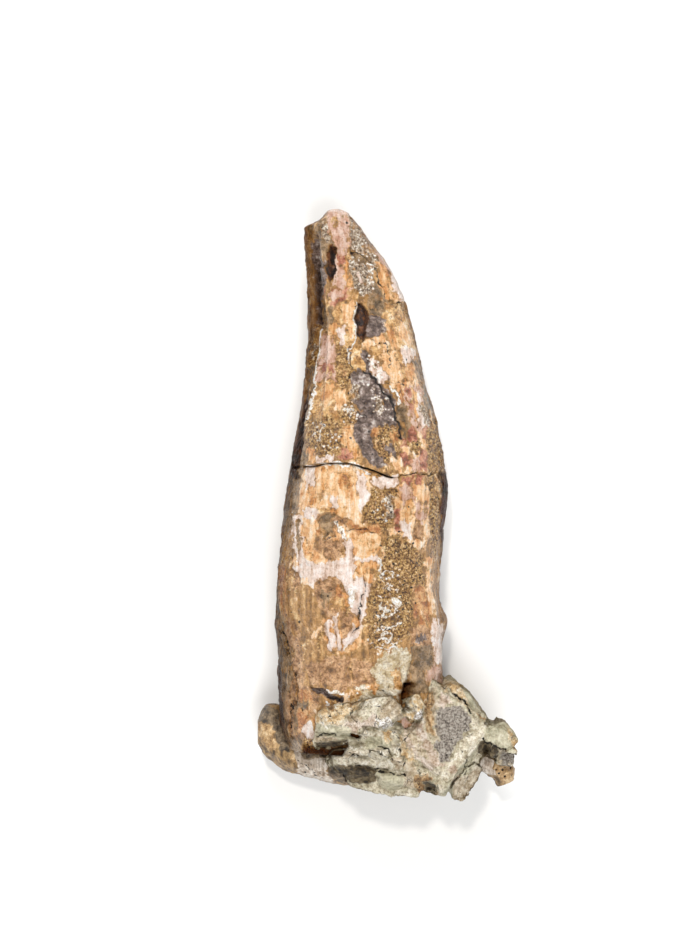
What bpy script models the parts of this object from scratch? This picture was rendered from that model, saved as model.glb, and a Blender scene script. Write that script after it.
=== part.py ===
"""Fossil sauropod tooth with the stone and bone that are cemented to its root.

The fossil lies on its side, as a loose tooth does. +Z is up, the tooth lies along Y with
its tip at +Y, and the origin is on the resting surface, under the middle of the fossil.
Outlines are written in millimetres and turned into metres where meshes are made.
"""

import math
from itertools import product

import bmesh
import bpy
import numpy as np

MM = 0.001
GAP = 0.3  # clearance between pieces that touch, in mm

# The tooth from its broken root to its worn tip: place along Y, left edge, right edge,
# underside and upper side, all in mm.
TOOTH_STATIONS = np.array(
    [
        (-37.0, -14.2, 6.6, 0.9, 19.4),
        (-34.0, -15.6, 7.6, 0.2, 20.3),
        (-29.0, -16.1, 8.2, -0.2, 20.8),
        (-22.0, -16.2, 8.5, -0.3, 20.9),
        (-18.0, -16.6, 9.1, -0.3, 20.9),
        (-12.0, -16.4, 8.3, -0.3, 20.8),
        (-4.0, -15.7, 8.7, -0.3, 20.6),
        (3.0, -14.9, 9.1, -0.2, 20.3),
        (10.0, -13.9, 8.0, 0.4, 19.2),
        (17.5, -12.8, 6.2, 1.4, 17.6),
        (24.5, -12.1, 4.1, 2.6, 16.1),
        (32.0, -12.3, 1.8, 4.0, 14.8),
        (36.5, -12.5, -0.8, 5.2, 13.8),
        (40.6, -12.4, -3.6, 6.3, 12.8),
        (41.8, -11.3, -4.4, 6.9, 12.4),
        (42.6, -9.8, -5.0, 7.4, 12.1),
        (44.3, -8.9, -6.2, 8.2, 11.4),
    ]
)
ROOT_END = TOOTH_STATIONS[0, 0]
TIP_END = TOOTH_STATIONS[-1, 0]
TIP_ROUNDING = 1.0  # length over which the tip closes, mm
PULP_DEPTH = 1.6  # the broken root end is dished by this much, mm
SECTION_POWER = 2.25  # 2 is an ellipse, more is squarer

# The hollow on the tongue side of the crown, between its two cutting edges. Angles go
# round the section in degrees from +X over the top.
FRONT_EDGE, BACK_EDGE = 126.0, 198.0
HOLLOW_SKEW = 0.62  # under 1 sets the deepest line near the front edge
HOLLOW_PLACES = (-2.0, 6.0, 16.0, 26.0, 36.0, 42.0, 44.2)
HOLLOW_DEPTHS = (0.0, 0.5, 1.5, 2.5, 2.3, 1.0, 0.0)

# The mended break across the middle: points seen from above, in mm. The crown side
# stands proud of the root side there.
BREAK_LINE = np.array(
    [(-12.2, 5.5), (-9.2, 5.6), (-6.2, 6.1), (-3.9, 5.6), (-1.6, 4.8), (0.6, 3.6), (1.9, 3.0)]
)
BREAK_GAP = 0.55
BREAK_DEPTH = 0.9
STEP_HEIGHT, STEP_REACH = 0.35, 3.0

# Cavities in the tooth: place of the middle (x, y), half sizes across, along and deep,
# and the turn seen from above, in mm and degrees.
CAVITIES = {
    "slot": ((-3.7, 27.5), (0.85, 3.0, 2.6), -4),
    "crown_pocket": ((-8.9, 36.2), (1.0, 2.9, 1.7), 3),
    "flaked_patch": ((-1.9, 15.4), (3.0, 5.2, 0.75), 16),
    "upper_flake": ((-3.9, 22.3), (1.3, 2.2, 0.6), 5),
    "root_slot": ((-8.6, -29.0), (2.3, 0.8, 1.6), -14),
    "square_flake": ((-7.7, -3.4), (1.4, 1.5, 0.45), 0),
}

# The stone as overlapping broken lumps: middle, half sizes in mm, turn about X, Y and Z
# in degrees, and the seed of its chipped corners.
STONE_LUMPS = {
    "block": ((7.4, -34.5, 10.4), (6.8, 6.1, 10.3), (3, 6, -40), 3),
    "lower_corner": ((9.8, -40.2, 9.0), (3.7, 3.2, 7.2), (0, 4, -8), 19),
    "foot": ((1.8, -37.0, 4.4), (10.6, 5.7, 5.4), (0, 0, 4), 8),
    "body": ((-0.6, -36.2, 14.6), (7.6, 4.8, 6.7), (5, 0, -10), 6),
    "low_ledge": ((-0.9, -38.9, 12.0), (6.3, 3.1, 6.4), (8, 0, -9), 5),
    "middle_ledge": ((-4.2, -34.4, 18.8), (6.6, 2.0, 2.8), (0, -3, -4), 12),
    "upper_ledge": ((-3.6, -31.0, 20.8), (7.2, 2.2, 1.9), (-12, -4, 12), 21),
    "layer": ((10.0, -30.5, 13.4), (4.6, 2.8, 5.2), (0, 10, -38), 17),
    "neck": ((13.8, -34.7, 12.8), (3.4, 2.3, 3.6), (0, 5, -14), 4),
    "chip": ((16.5, -34.9, 14.2), (2.3, 2.3, 3.5), (10, 0, -32), 30),
    "nub": ((1.5, -41.1, 10.0), (2.6, 2.2, 4.2), (0, 0, 10), 9),
    "rusty_lump": ((6.3, -41.2, 9.4), (3.3, 2.2, 5.0), (0, 0, -14), 14),
    "wedge": ((3.9, -29.9, 19.6), (1.5, 1.8, 1.7), (0, 8, 25), 2),
}
CHIPPED_CORNERS = 14
CORNER_SHARPNESS = 24.0
LARGE_LUMP = 5.0  # mean half size from which a lump gets the finer mesh, mm

# Bones as rounded rods along a path: place (x, y, z), half width and half height, in mm.
JAW_BONE_PATH = np.array(
    [
        (-17.3, -30.9, 6.4, 0.9, 1.4),
        (-17.3, -33.4, 6.0, 2.2, 3.2),
        (-16.4, -36.4, 5.2, 3.0, 4.6),
        (-14.0, -38.6, 4.9, 3.4, 5.2),
        (-10.4, -39.6, 4.9, 3.4, 5.4),
        (-6.0, -40.6, 5.0, 3.0, 5.3),
        (-1.4, -41.4, 5.2, 2.4, 4.6),
        (1.6, -42.0, 5.4, 1.2, 2.6),
    ]
)
SPLINTER_PATH = np.array(
    [
        (11.4, -37.6, 8.4, 0.9, 1.0),
        (13.4, -38.4, 8.8, 1.7, 2.0),
        (15.8, -39.2, 8.8, 2.0, 2.5),
        (17.7, -40.5, 8.5, 1.9, 2.5),
        (18.5, -42.3, 7.9, 1.0, 1.4),
    ]
)

# Rough relief of each surface: (size of the bumps, height), coarse to fine, in mm.
TOOTH_RELIEF = ((9.0, 0.42), (3.6, 0.22))
STONE_RELIEF = ((5.0, 0.55), (2.2, 0.30))
BONE_RELIEF = ((4.0, 0.40), (1.8, 0.18))


def curve_through(at, places, values):
    """Values between the places, on cubics that share their slope at each place."""
    at = np.asarray(at, float)
    places = np.asarray(places, float)
    values = np.asarray(values, float)
    slopes = np.gradient(values, places)
    left = np.clip(np.searchsorted(places, at) - 1, 0, len(places) - 2)
    span = places[left + 1] - places[left]
    t = np.clip((at - places[left]) / span, 0, 1)
    return (
        values[left] * (2 * t**3 - 3 * t**2 + 1)
        + slopes[left] * span * (t**3 - 2 * t**2 + t)
        + values[left + 1] * (3 * t**2 - 2 * t**3)
        + slopes[left + 1] * span * (t**3 - t**2)
    )


def gradient_noise(points, seed):
    """Smooth noise from about -1 to 1: each cell corner has a random slope, and the eight
    slopes are blended across the cell."""
    cell = np.floor(points).astype(np.int64)
    inside = points - cell
    fade = inside**3 * (inside * (inside * 6 - 15) + 10)
    total = np.zeros(points.shape[:-1])
    for corner in product((0, 1), repeat=3):
        near = cell + corner
        mixed = near[..., 0] * 374761393 + near[..., 1] * 668265263 + near[..., 2] * 974634777
        mixed = (mixed + seed * 1442695041) & 0x7FFFFFFF
        mixed = ((mixed ^ (mixed >> 13)) * 1274126177) & 0x7FFFFFFF
        turn = mixed % 628 / 100.0
        rise = (mixed >> 10) % 200 / 100.0 - 1.0
        flat = np.sqrt(1 - rise**2)
        slope = np.stack([flat * np.cos(turn), flat * np.sin(turn), rise], axis=-1)
        share = np.prod(np.where(corner, fade, 1 - fade), axis=-1)
        total += share * np.sum(slope * (inside - corner), axis=-1)
    return total * 1.6


def relief(points, layers, seed):
    """Sum of noise layers, each (bump size, height) in the points' own units."""
    return sum(
        height * gradient_noise(points / size, seed + i)
        for i, (size, height) in enumerate(layers)
    )


def section(angle, y):
    """Middle (x, z) of the tooth's section at y, and the offset from it at an angle in
    degrees: a superellipse between the four edges, less the hollow of the crown."""
    left, right, under, upper = (
        curve_through(y, TOOTH_STATIONS[:, 0], TOOTH_STATIONS[:, i]) for i in range(1, 5)
    )
    turn = np.radians(angle)
    cos, sin = np.cos(turn), np.sin(turn)
    swell = (np.abs(cos) ** SECTION_POWER + np.abs(sin) ** SECTION_POWER) ** (-1 / SECTION_POWER)
    across = np.clip((angle - FRONT_EDGE) / (BACK_EDGE - FRONT_EDGE), 0, 1)
    hollow = curve_through(y, HOLLOW_PLACES, HOLLOW_DEPTHS) * np.sin(np.pi * across**HOLLOW_SKEW)
    middle = np.stack([(left + right) / 2, (under + upper) / 2], axis=-1)
    offset = np.stack(
        [
            ((right - left) / 2 * swell - hollow) * cos,
            ((upper - under) / 2 * swell - hollow) * sin,
        ],
        axis=-1,
    )
    return middle, offset


def break_step(x, y, z):
    """Height by which the surface is raised on the crown side of the break and lowered on
    its root side, fading with the distance from the break line."""
    line_y = np.interp(x, BREAK_LINE[:, 0], BREAK_LINE[:, 1])
    from_line = y - line_y
    fade = np.exp(-np.abs(from_line) / STEP_REACH)
    on_top = np.clip((z - 10.0) / 4.0, 0, 1)
    return STEP_HEIGHT * np.sign(from_line) * fade * on_top


def tooth_points(angle, y, shrink, grow=0.0):
    """Points of the tooth's surface in mm, for arrays of angle, place along Y and the
    share of the section's size, with the relief added along the radius."""
    middle, offset = section(angle, y)
    length = np.linalg.norm(offset, axis=-1, keepdims=True)
    outward = offset / length
    flat = middle + offset * shrink[..., None]
    plain = np.stack([flat[..., 0], y, flat[..., 1]], axis=-1)
    rise = relief(plain, TOOTH_RELIEF, 5) * shrink + break_step(*np.moveaxis(plain, -1, 0))
    lifted = flat + outward * (rise * shrink + grow)[..., None]
    return np.stack([lifted[..., 0], y, np.maximum(lifted[..., 1], -grow)], axis=-1)


def tooth_rings(rings, around, grow=0.0):
    """Rings of points from the middle of the broken root end to the tip. The root end is
    dished, and the tip closes on a quarter ellipse."""
    cap = np.linspace(0.12, 0.94, 4)
    body = np.linspace(0, 1, rings)
    y_body = ROOT_END + (TIP_END - ROOT_END) * body
    close = np.clip((y_body - TIP_END + TIP_ROUNDING) / TIP_ROUNDING, 0, 0.97)
    y = np.concatenate([ROOT_END + PULP_DEPTH * (1 - cap**2), y_body])
    shrink = np.concatenate([cap, np.sqrt(1 - close**2)])
    y[: len(cap) + 1] -= grow
    y[-1] += grow
    angle = np.linspace(0, 360, around, endpoint=False)
    shape = (len(y), around)
    return tooth_points(
        np.broadcast_to(angle, shape),
        np.broadcast_to(y[:, None], shape),
        np.broadcast_to(shrink[:, None], shape),
        grow,
    )


def finished(name, mesh_data, colour=None, roughness=0.6):
    """Object of a bmesh, with its normals outward and its own material."""
    bmesh.ops.recalc_face_normals(mesh_data, faces=mesh_data.faces)
    mesh = bpy.data.meshes.new(name)
    mesh_data.to_mesh(mesh)
    mesh_data.free()
    obj = bpy.data.objects.new(name, mesh)
    bpy.context.scene.collection.objects.link(obj)
    if colour:
        material = bpy.data.materials.new(name)
        material.use_nodes = True
        shader = material.node_tree.nodes["Principled BSDF"]
        shader.inputs["Base Color"].default_value = (*colour, 1)
        shader.inputs["Roughness"].default_value = roughness
        shader.inputs["Metallic"].default_value = 0
        mesh.materials.append(material)
        mesh.shade_smooth()
        mesh.set_sharp_from_angle(angle=math.radians(40))
    return obj


def lofted(name, rings, **look):
    """Closed object through rings of points in mm, each end closed by a fan."""
    loft = bmesh.new()
    loops = [[loft.verts.new(point * MM) for point in ring] for ring in rings]
    for here, beyond in zip(loops, loops[1:]):
        for i in range(len(here)):
            loft.faces.new((here[i - 1], here[i], beyond[i], beyond[i - 1]))
    for loop in (loops[0], loops[-1]):
        bmesh.ops.poke(loft, faces=[loft.faces.new(loop)])
    bmesh.ops.triangulate(loft, faces=loft.faces)
    return finished(name, loft, **look)


def rod_rings(path, seed, grow=0.0, steps=14, around=14):
    """Rings of a rounded rod: an ellipse carried along the path, drawn to a point beyond
    both ends, with rough relief."""
    share = np.linspace(0, 1, len(path))
    at = np.linspace(0, 1, steps)
    place = np.stack([curve_through(at, share, path[:, i]) for i in range(3)], axis=-1)
    ahead = np.gradient(place, axis=0)
    ahead[:, 2] = 0
    ahead /= np.linalg.norm(ahead, axis=-1, keepdims=True)
    aside = np.stack([-ahead[:, 1], ahead[:, 0], ahead[:, 2]], axis=-1)
    half_width = curve_through(at, share, path[:, 3])[:, None, None]
    half_height = curve_through(at, share, path[:, 4])[:, None, None]
    angle = np.linspace(0, 2 * math.pi, around, endpoint=False)[None, :, None]
    offset = (
        aside[:, None, :] * np.cos(angle) * half_width
        + np.array([0, 0, 1.0]) * np.sin(angle) * half_height
    )
    rings = place[:, None, :] + offset
    outward = offset / np.linalg.norm(offset, axis=-1, keepdims=True)
    return rings + outward * (relief(rings, BONE_RELIEF, seed) + grow)[..., None]


def lump_facets(half, seed):
    """Facet normals and distances of a broken lump: the six sides of a block, and random
    planes that chip its edges and corners."""
    rng = np.random.default_rng(seed)
    sides = np.vstack([np.eye(3), -np.eye(3)])
    chips = rng.normal(size=(CHIPPED_CORNERS, 3))
    chips /= np.linalg.norm(chips, axis=1, keepdims=True)
    corner = np.abs(chips) @ np.array(half)
    distances = np.concatenate([np.tile(half, 2), corner * rng.uniform(0.68, 0.86, CHIPPED_CORNERS)])
    return np.vstack([sides, chips]), distances


def rotation(turn):
    """Matrix of turns about X, then Y, then Z, in degrees."""
    x, y, z = np.radians(turn)
    about_x = np.array([(1, 0, 0), (0, math.cos(x), -math.sin(x)), (0, math.sin(x), math.cos(x))])
    about_y = np.array([(math.cos(y), 0, math.sin(y)), (0, 1, 0), (-math.sin(y), 0, math.cos(y))])
    about_z = np.array([(math.cos(z), -math.sin(z), 0), (math.sin(z), math.cos(z), 0), (0, 0, 1)])
    return about_z @ about_y @ about_x


def lump_points(directions, centre, half, turn, seed):
    """Surface points in mm along unit directions from a lump's middle. The radius is a
    soft minimum of the distances to the facet planes."""
    normals, distances = lump_facets(half, seed)
    reach = np.clip(directions @ normals.T, 0, None) / distances
    radius = np.sum(reach**CORNER_SHARPNESS, axis=-1) ** (-1 / CORNER_SHARPNESS)
    turned = directions @ rotation(turn).T
    plain = np.array(centre) + turned * radius[..., None]
    rise = relief(plain, STONE_RELIEF, 40) * min(1, np.mean(half) / LARGE_LUMP)
    return plain + turned * rise[..., None]


def lump(name, centre, half, turn, seed):
    """Closed object of one broken lump, on the directions of an icosphere."""
    ball = bmesh.new()
    fineness = 4 if np.mean(half) > LARGE_LUMP else 3
    bmesh.ops.create_icosphere(ball, subdivisions=fineness, radius=1)
    directions = np.array([v.co for v in ball.verts])
    directions /= np.linalg.norm(directions, axis=1, keepdims=True)
    for vertex, point in zip(ball.verts, lump_points(directions, centre, half, turn, seed)):
        vertex.co = point * MM
    return finished(name, ball)


def combine(obj, operation, others):
    """Boolean of an object with each of the others in turn, applied. The others go."""
    for other in others:
        cut = obj.modifiers.new(operation.lower(), "BOOLEAN")
        cut.operation = operation
        cut.solver = "EXACT"
        cut.object = other
        graph = bpy.context.evaluated_depsgraph_get()
        mesh = bpy.data.meshes.new_from_object(obj.evaluated_get(graph))
        obj.modifiers.clear()
        obj.data = mesh
        bpy.data.objects.remove(other)
    return obj


def cavity(name, place, half, turn):
    """Ellipsoid cutter sunk in the tooth's upper side, its middle on the surface."""
    x, y = place
    middle, offset = section(np.linspace(5, 175, 171), np.full(171, y))
    surface = middle + offset
    z = np.interp(-x, -surface[:, 0], surface[:, 1])
    ball = bmesh.new()
    bmesh.ops.create_icosphere(ball, subdivisions=2, radius=1)
    points = np.array([v.co for v in ball.verts]) * half
    points += points * relief(points, ((1.7, 0.35),), 71)[:, None]
    points = points @ rotation((0, 0, turn)).T + (x, y, z)
    for vertex, point in zip(ball.verts, points):
        vertex.co = point * MM
    return finished(name, ball)


def break_cutter():
    """Thin blade along the break line, from above the surface to the gap's depth."""
    line = BREAK_LINE
    middle, offset = section(np.linspace(5, 175, 171), np.full(171, line[:, 1].mean()))
    surface = middle + offset
    z = np.interp(-line[:, 0], -surface[:, 0], surface[:, 1])
    outward = np.stack([(line[:, 0] - middle[0, 0]), (z - middle[0, 1])], axis=-1)
    outward /= np.linalg.norm(outward, axis=1, keepdims=True)
    width = BREAK_GAP * np.sin(np.linspace(0.25, math.pi - 0.25, len(line)))
    rings = []
    for (x, y), height, (out_x, out_z), half in zip(line, z, outward, width / 2):
        top = np.array([x + 2 * out_x, y, height + 2 * out_z])
        foot = np.array([x - BREAK_DEPTH * out_x, y, height - BREAK_DEPTH * out_z])
        across = np.array([0, half, 0])
        rings.append([top - across, top + across, foot + across * 0.4, foot - across * 0.4])
    return lofted("break_cutter", rings)


def floor_cutter():
    """Block under the resting surface."""
    block = bmesh.new()
    bmesh.ops.create_cube(block, size=1)
    bmesh.ops.scale(block, vec=(0.2, 0.2, 0.05), verts=block.verts)
    bmesh.ops.translate(block, vec=(0, 0, -0.025), verts=block.verts)
    return finished("floor_cutter", block)


def largest_body(obj):
    """Drops the crumbs that a cut left loose, and keeps the largest connected body."""
    work = bmesh.new()
    work.from_mesh(obj.data)
    left = set(work.verts)
    bodies = []
    while left:
        front = [left.pop()]
        body = set(front)
        while front:
            vertex = front.pop()
            found = {edge.other_vert(vertex) for edge in vertex.link_edges} & left
            left -= found
            body |= found
            front.extend(found)
        bodies.append(body)
    bodies.sort(key=len)
    for body in bodies[:-1]:
        bmesh.ops.delete(work, geom=list(body), context="VERTS")
    work.to_mesh(obj.data)
    work.free()
    return obj


def simplified(obj, share):
    """The same form on fewer triangles."""
    fewer = obj.modifiers.new("fewer", "DECIMATE")
    fewer.ratio = share
    graph = bpy.context.evaluated_depsgraph_get()
    mesh = bpy.data.meshes.new_from_object(obj.evaluated_get(graph))
    obj.modifiers.clear()
    obj.data = mesh
    return obj


def grown_tooth(grow):
    return lofted("tooth_space", tooth_rings(58, 40, grow))


def make_tooth():
    """Crown and root, one grown piece, with its cavities and the mended break."""
    tooth = lofted("tooth", tooth_rings(58, 40), colour=(0.62, 0.42, 0.24), roughness=0.55)
    combine(tooth, "DIFFERENCE", [cavity(name, *shape) for name, shape in CAVITIES.items()])
    combine(tooth, "DIFFERENCE", [break_cutter()])
    return largest_body(tooth)


def make_jaw_bone():
    """Curved sliver of bone round the lower left of the root."""
    bone = lofted("jaw_bone", rod_rings(JAW_BONE_PATH, 11), colour=(0.55, 0.42, 0.30))
    combine(bone, "DIFFERENCE", [grown_tooth(GAP), floor_cutter()])
    return largest_body(bone)


def make_splinter():
    """Porous bone splinter that stands out of the stone's right side."""
    return lofted("bone_splinter", rod_rings(SPLINTER_PATH, 23), colour=(0.72, 0.52, 0.36))


def make_stone():
    """The lumps joined in one solid, with the beds of the tooth and bones cut out."""
    lumps = [lump(name, *shape) for name, shape in STONE_LUMPS.items()]
    stone = combine(lumps[0], "UNION", lumps[1:])
    stone.name = "matrix_stone"
    simplified(stone, 0.45)
    beds = [
        grown_tooth(GAP),
        lofted("jaw_bone_space", rod_rings(JAW_BONE_PATH, 11, GAP)),
        lofted("splinter_space", rod_rings(SPLINTER_PATH, 23, GAP)),
        floor_cutter(),
    ]
    combine(stone, "DIFFERENCE", beds)
    material = bpy.data.materials.new("matrix_stone")
    material.use_nodes = True
    shader = material.node_tree.nodes["Principled BSDF"]
    shader.inputs["Base Color"].default_value = (0.42, 0.41, 0.30, 1)
    shader.inputs["Roughness"].default_value = 0.85
    stone.data.materials.clear()
    stone.data.materials.append(material)
    return largest_body(stone)


def main():
    for obj in list(bpy.data.objects):
        bpy.data.objects.remove(obj)
    make_tooth()
    make_jaw_bone()
    make_splinter()
    make_stone()


main()
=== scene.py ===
"""Fossil sauropod tooth with the stone and bone on its root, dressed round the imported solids.

The tooth lies on its side and the camera looks straight down on it. Shapes are worked out in
millimetres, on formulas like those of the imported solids, and go into the meshes in metres. A
picture place is (right, down) in px of the 700 x 930 picture, 0.15 mm each on the middle of the
fossil.
"""

import math
from itertools import product

import bmesh
import bpy
import numpy as np
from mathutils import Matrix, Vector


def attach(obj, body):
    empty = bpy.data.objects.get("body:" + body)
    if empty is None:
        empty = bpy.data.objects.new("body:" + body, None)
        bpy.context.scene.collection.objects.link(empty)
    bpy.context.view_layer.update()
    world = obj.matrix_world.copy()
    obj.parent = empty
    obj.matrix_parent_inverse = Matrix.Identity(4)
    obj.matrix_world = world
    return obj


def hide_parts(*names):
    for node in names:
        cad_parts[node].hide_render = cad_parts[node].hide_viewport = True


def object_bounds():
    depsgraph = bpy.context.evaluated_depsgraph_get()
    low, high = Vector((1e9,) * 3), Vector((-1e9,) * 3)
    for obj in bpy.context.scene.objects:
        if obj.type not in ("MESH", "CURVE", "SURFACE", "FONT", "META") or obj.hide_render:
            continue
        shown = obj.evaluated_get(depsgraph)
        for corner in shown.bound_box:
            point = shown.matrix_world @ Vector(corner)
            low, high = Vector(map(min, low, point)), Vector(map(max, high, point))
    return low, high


bl_info = {
    "name": "Fossil sauropod tooth",
    "version": (1, 0, 0),
    "blender": (4, 5, 0),
    "location": "3D View > Sidebar > Fossil",
    "description": "Builds a fossil tooth with its matrix round the packed part",
    "category": "Object",
}

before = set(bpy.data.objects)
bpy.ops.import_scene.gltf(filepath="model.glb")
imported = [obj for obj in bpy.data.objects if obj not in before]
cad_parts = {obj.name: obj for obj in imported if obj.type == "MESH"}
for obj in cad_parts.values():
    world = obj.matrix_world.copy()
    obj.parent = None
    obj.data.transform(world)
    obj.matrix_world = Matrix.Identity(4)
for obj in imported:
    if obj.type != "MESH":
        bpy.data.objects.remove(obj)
CAD_BOX = [list(corner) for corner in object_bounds()]

MM = 0.001
PX = 0.15  # mm of the fossil for each px of the picture
WANDER = ((2.6, 2.6), (1.1, 2.2), (0.5, 1.8))  # how outlines stray: size in mm, reach in px
PICTURE = (700, 930)
LENS, SENSOR = 85.0, 36.0  # mm
FOCUS_HEIGHT = 12.0  # height at which a px is exactly PX, mm
CAMERA_REACH = LENS * PICTURE[1] * PX / SENSOR
CAMERA_PLACE = (-5.4, 5.625, FOCUS_HEIGHT + CAMERA_REACH)

# The tooth, within about 1 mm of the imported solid: place along Y, left, right, underside and upper side.
TOOTH_STATIONS = np.array(
    [
        (-37.0, -14.2, 6.6, 0.9, 19.4),
        (-34.0, -15.6, 7.6, 0.2, 20.3),
        (-29.0, -16.1, 8.4, -0.2, 20.8),
        (-21.0, -16.2, 8.5, -0.3, 20.9),
        (-18.0, -16.6, 9.1, -0.3, 20.9),
        (-15.5, -16.5, 8.3, -0.3, 20.9),
        (-9.0, -16.2, 8.3, -0.3, 20.8),
        (-4.0, -15.7, 8.6, -0.3, 20.6),
        (3.0, -14.9, 9.1, -0.2, 20.3),
        (10.0, -13.9, 8.0, 0.4, 19.2),
        (17.5, -12.8, 6.2, 1.4, 17.6),
        (24.5, -11.9, 4.4, 2.6, 16.1),
        (32.0, -12.4, 2.4, 4.0, 14.8),
        (36.5, -12.5, -0.3, 5.2, 13.8),
        (40.6, -12.4, -3.7, 6.3, 12.8),
        (41.8, -12.2, -4.4, 6.9, 12.4),
        (42.6, -10.4, -5.0, 7.4, 12.1),
        (44.3, -8.9, -6.2, 8.2, 11.4),
    ]
)
ROOT_END = TOOTH_STATIONS[0, 0]
TIP_END = TOOTH_STATIONS[-1, 0]
TIP_ROUNDING = 1.0
PULP_DEPTH = 1.6
SECTION_POWER = 2.25
FRONT_EDGE, BACK_EDGE = 126.0, 198.0
HOLLOW_SKEW = 0.62
HOLLOW_PLACES = (-2.0, 6.0, 16.0, 26.0, 36.0, 42.0, 44.2)
HOLLOW_DEPTHS = (0.0, 0.5, 1.5, 2.5, 2.3, 1.0, 0.0)
BREAK_LINE = np.array(
    [
        (-12.2, 5.5), (-9.2, 6.0), (-6.2, 6.1), (-3.9, 5.6), (-1.6, 4.8),
        (0.6, 3.9), (1.9, 3.9), (3.2, 4.3), (4.8, 4.4), (6.6, 4.1),
    ]
)
STEP_HEIGHT, STEP_REACH = 0.35, 3.0
BREAK_MIDDLE = 5.0  # the break's place in straightened places along the tooth, mm
BREAK_BEND = 6.0  # reach of the straightening, mm
TOOTH_RELIEF = ((9.0, 0.42), (3.6, 0.22))

# The stone's lumps, within about 1 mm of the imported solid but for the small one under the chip
# at the right, which is only here: middle, half sizes, turns and seed.
STONE_LUMPS = (
    ((7.4, -34.5, 10.4), (6.8, 6.1, 10.3), (3, 6, -40), 3),
    ((9.8, -39.9, 9.0), (3.4, 3.0, 7.2), (0, 4, -32), 19),
    ((1.8, -37.0, 4.4), (10.6, 5.7, 5.4), (0, 0, 4), 8),
    ((-0.6, -36.2, 14.6), (7.6, 4.8, 6.7), (5, 0, -10), 6),
    ((-0.9, -38.9, 12.0), (6.3, 3.1, 6.4), (8, 0, -9), 5),
    ((-4.2, -34.4, 18.8), (6.6, 2.0, 2.8), (0, -3, -4), 12),
    ((-3.6, -31.0, 20.8), (7.2, 2.2, 1.9), (-12, -4, 12), 21),
    ((10.2, -30.5, 13.4), (3.5, 3.0, 5.2), (0, 10, -52), 17),
    ((13.8, -34.7, 12.8), (3.4, 2.3, 3.6), (0, 5, -14), 4),
    ((16.55, -35.1, 14.2), (2.1, 2.1, 3.5), (10, 0, -47), 30),
    ((17.7, -37.6, 11.0), (1.4, 1.7, 2.6), (0, 0, -5), 31),
    ((1.5, -41.1, 10.0), (2.6, 2.2, 4.2), (0, 0, 10), 9),
    ((6.3, -41.2, 9.4), (3.3, 2.2, 5.0), (0, 0, -14), 14),
    ((3.9, -29.9, 19.6), (1.5, 1.8, 1.7), (0, 8, 25), 2),
)
CHIPPED_CORNERS = 14
CORNER_SHARPNESS = 24.0
LARGE_LUMP = 5.0
STONE_RELIEF = ((5.0, 0.55), (2.2, 0.30))
STONE_VOXEL = 0.175  # size of the cells on which the lumps are fused, mm

# Bones, within about 1 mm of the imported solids: place, half width and half height along them.
JAW_BONE_PATH = np.array(
    [
        (-17.3, -30.9, 6.4, 0.9, 1.4),
        (-17.3, -33.4, 6.0, 2.2, 3.2),
        (-16.4, -36.4, 5.2, 3.0, 4.6),
        (-13.8, -38.2, 4.9, 3.1, 5.2),
        (-10.3, -39.2, 4.9, 3.1, 5.4),
        (-6.0, -40.4, 5.0, 2.9, 5.3),
        (-1.4, -41.3, 5.2, 2.3, 4.6),
        (1.6, -42.0, 5.4, 1.2, 2.6),
    ]
)
SPLINTER_PATH = np.array(
    [
        (11.4, -37.6, 8.4, 0.9, 1.0),
        (13.4, -38.4, 8.8, 1.7, 2.0),
        (15.8, -39.2, 8.8, 2.1, 2.5),
        (17.4, -40.5, 8.5, 2.0, 2.5),
        (18.3, -42.6, 7.9, 1.2, 1.4),
    ]
)
BONE_RELIEF = ((4.0, 0.40), (1.8, 0.18))

# Soft lights: name, place and size in m, watts and tint.
LIGHTS = (
    ("window", (-0.02, 0.33, 0.32), 0.18, 1.20, "#FFFFFF"),
    ("overhead", (0.06, -0.22, 0.46), 0.30, 1.85, "#FFFFFF"),
    ("glint", (-0.04, 0.13, 0.42), 0.03, 0.55, "#FFF8F0"),
)
STUDIO_GLOW = 0.29  # strength of the white surroundings
FLOOR_REACH = 3.0  # m

# Minerals painted on the tooth, in the order of their paint channels. The hollow mineral is
# near-black painted shade inside the cavities, and the white crumb mineral is partly white crumbs
# and partly painted glints.
TOOTH_MINERALS = (
    "cream", "pink", "pale", "ochre", "crust", "brown", "dentine", "hematite",
    "grey", "clay", "crumb_and_glint", "hollow", "stain", "umber", "rust",
)
# Minerals that are thin, and how much of them covers what is under.
THIN_MINERALS = {
    "hematite": 0.78,
    "pink": 0.85,
    "rust": 0.75,
    "stain": 0.8,
    "ochre": 0.85,
    "grey": 0.8,
}
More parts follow.
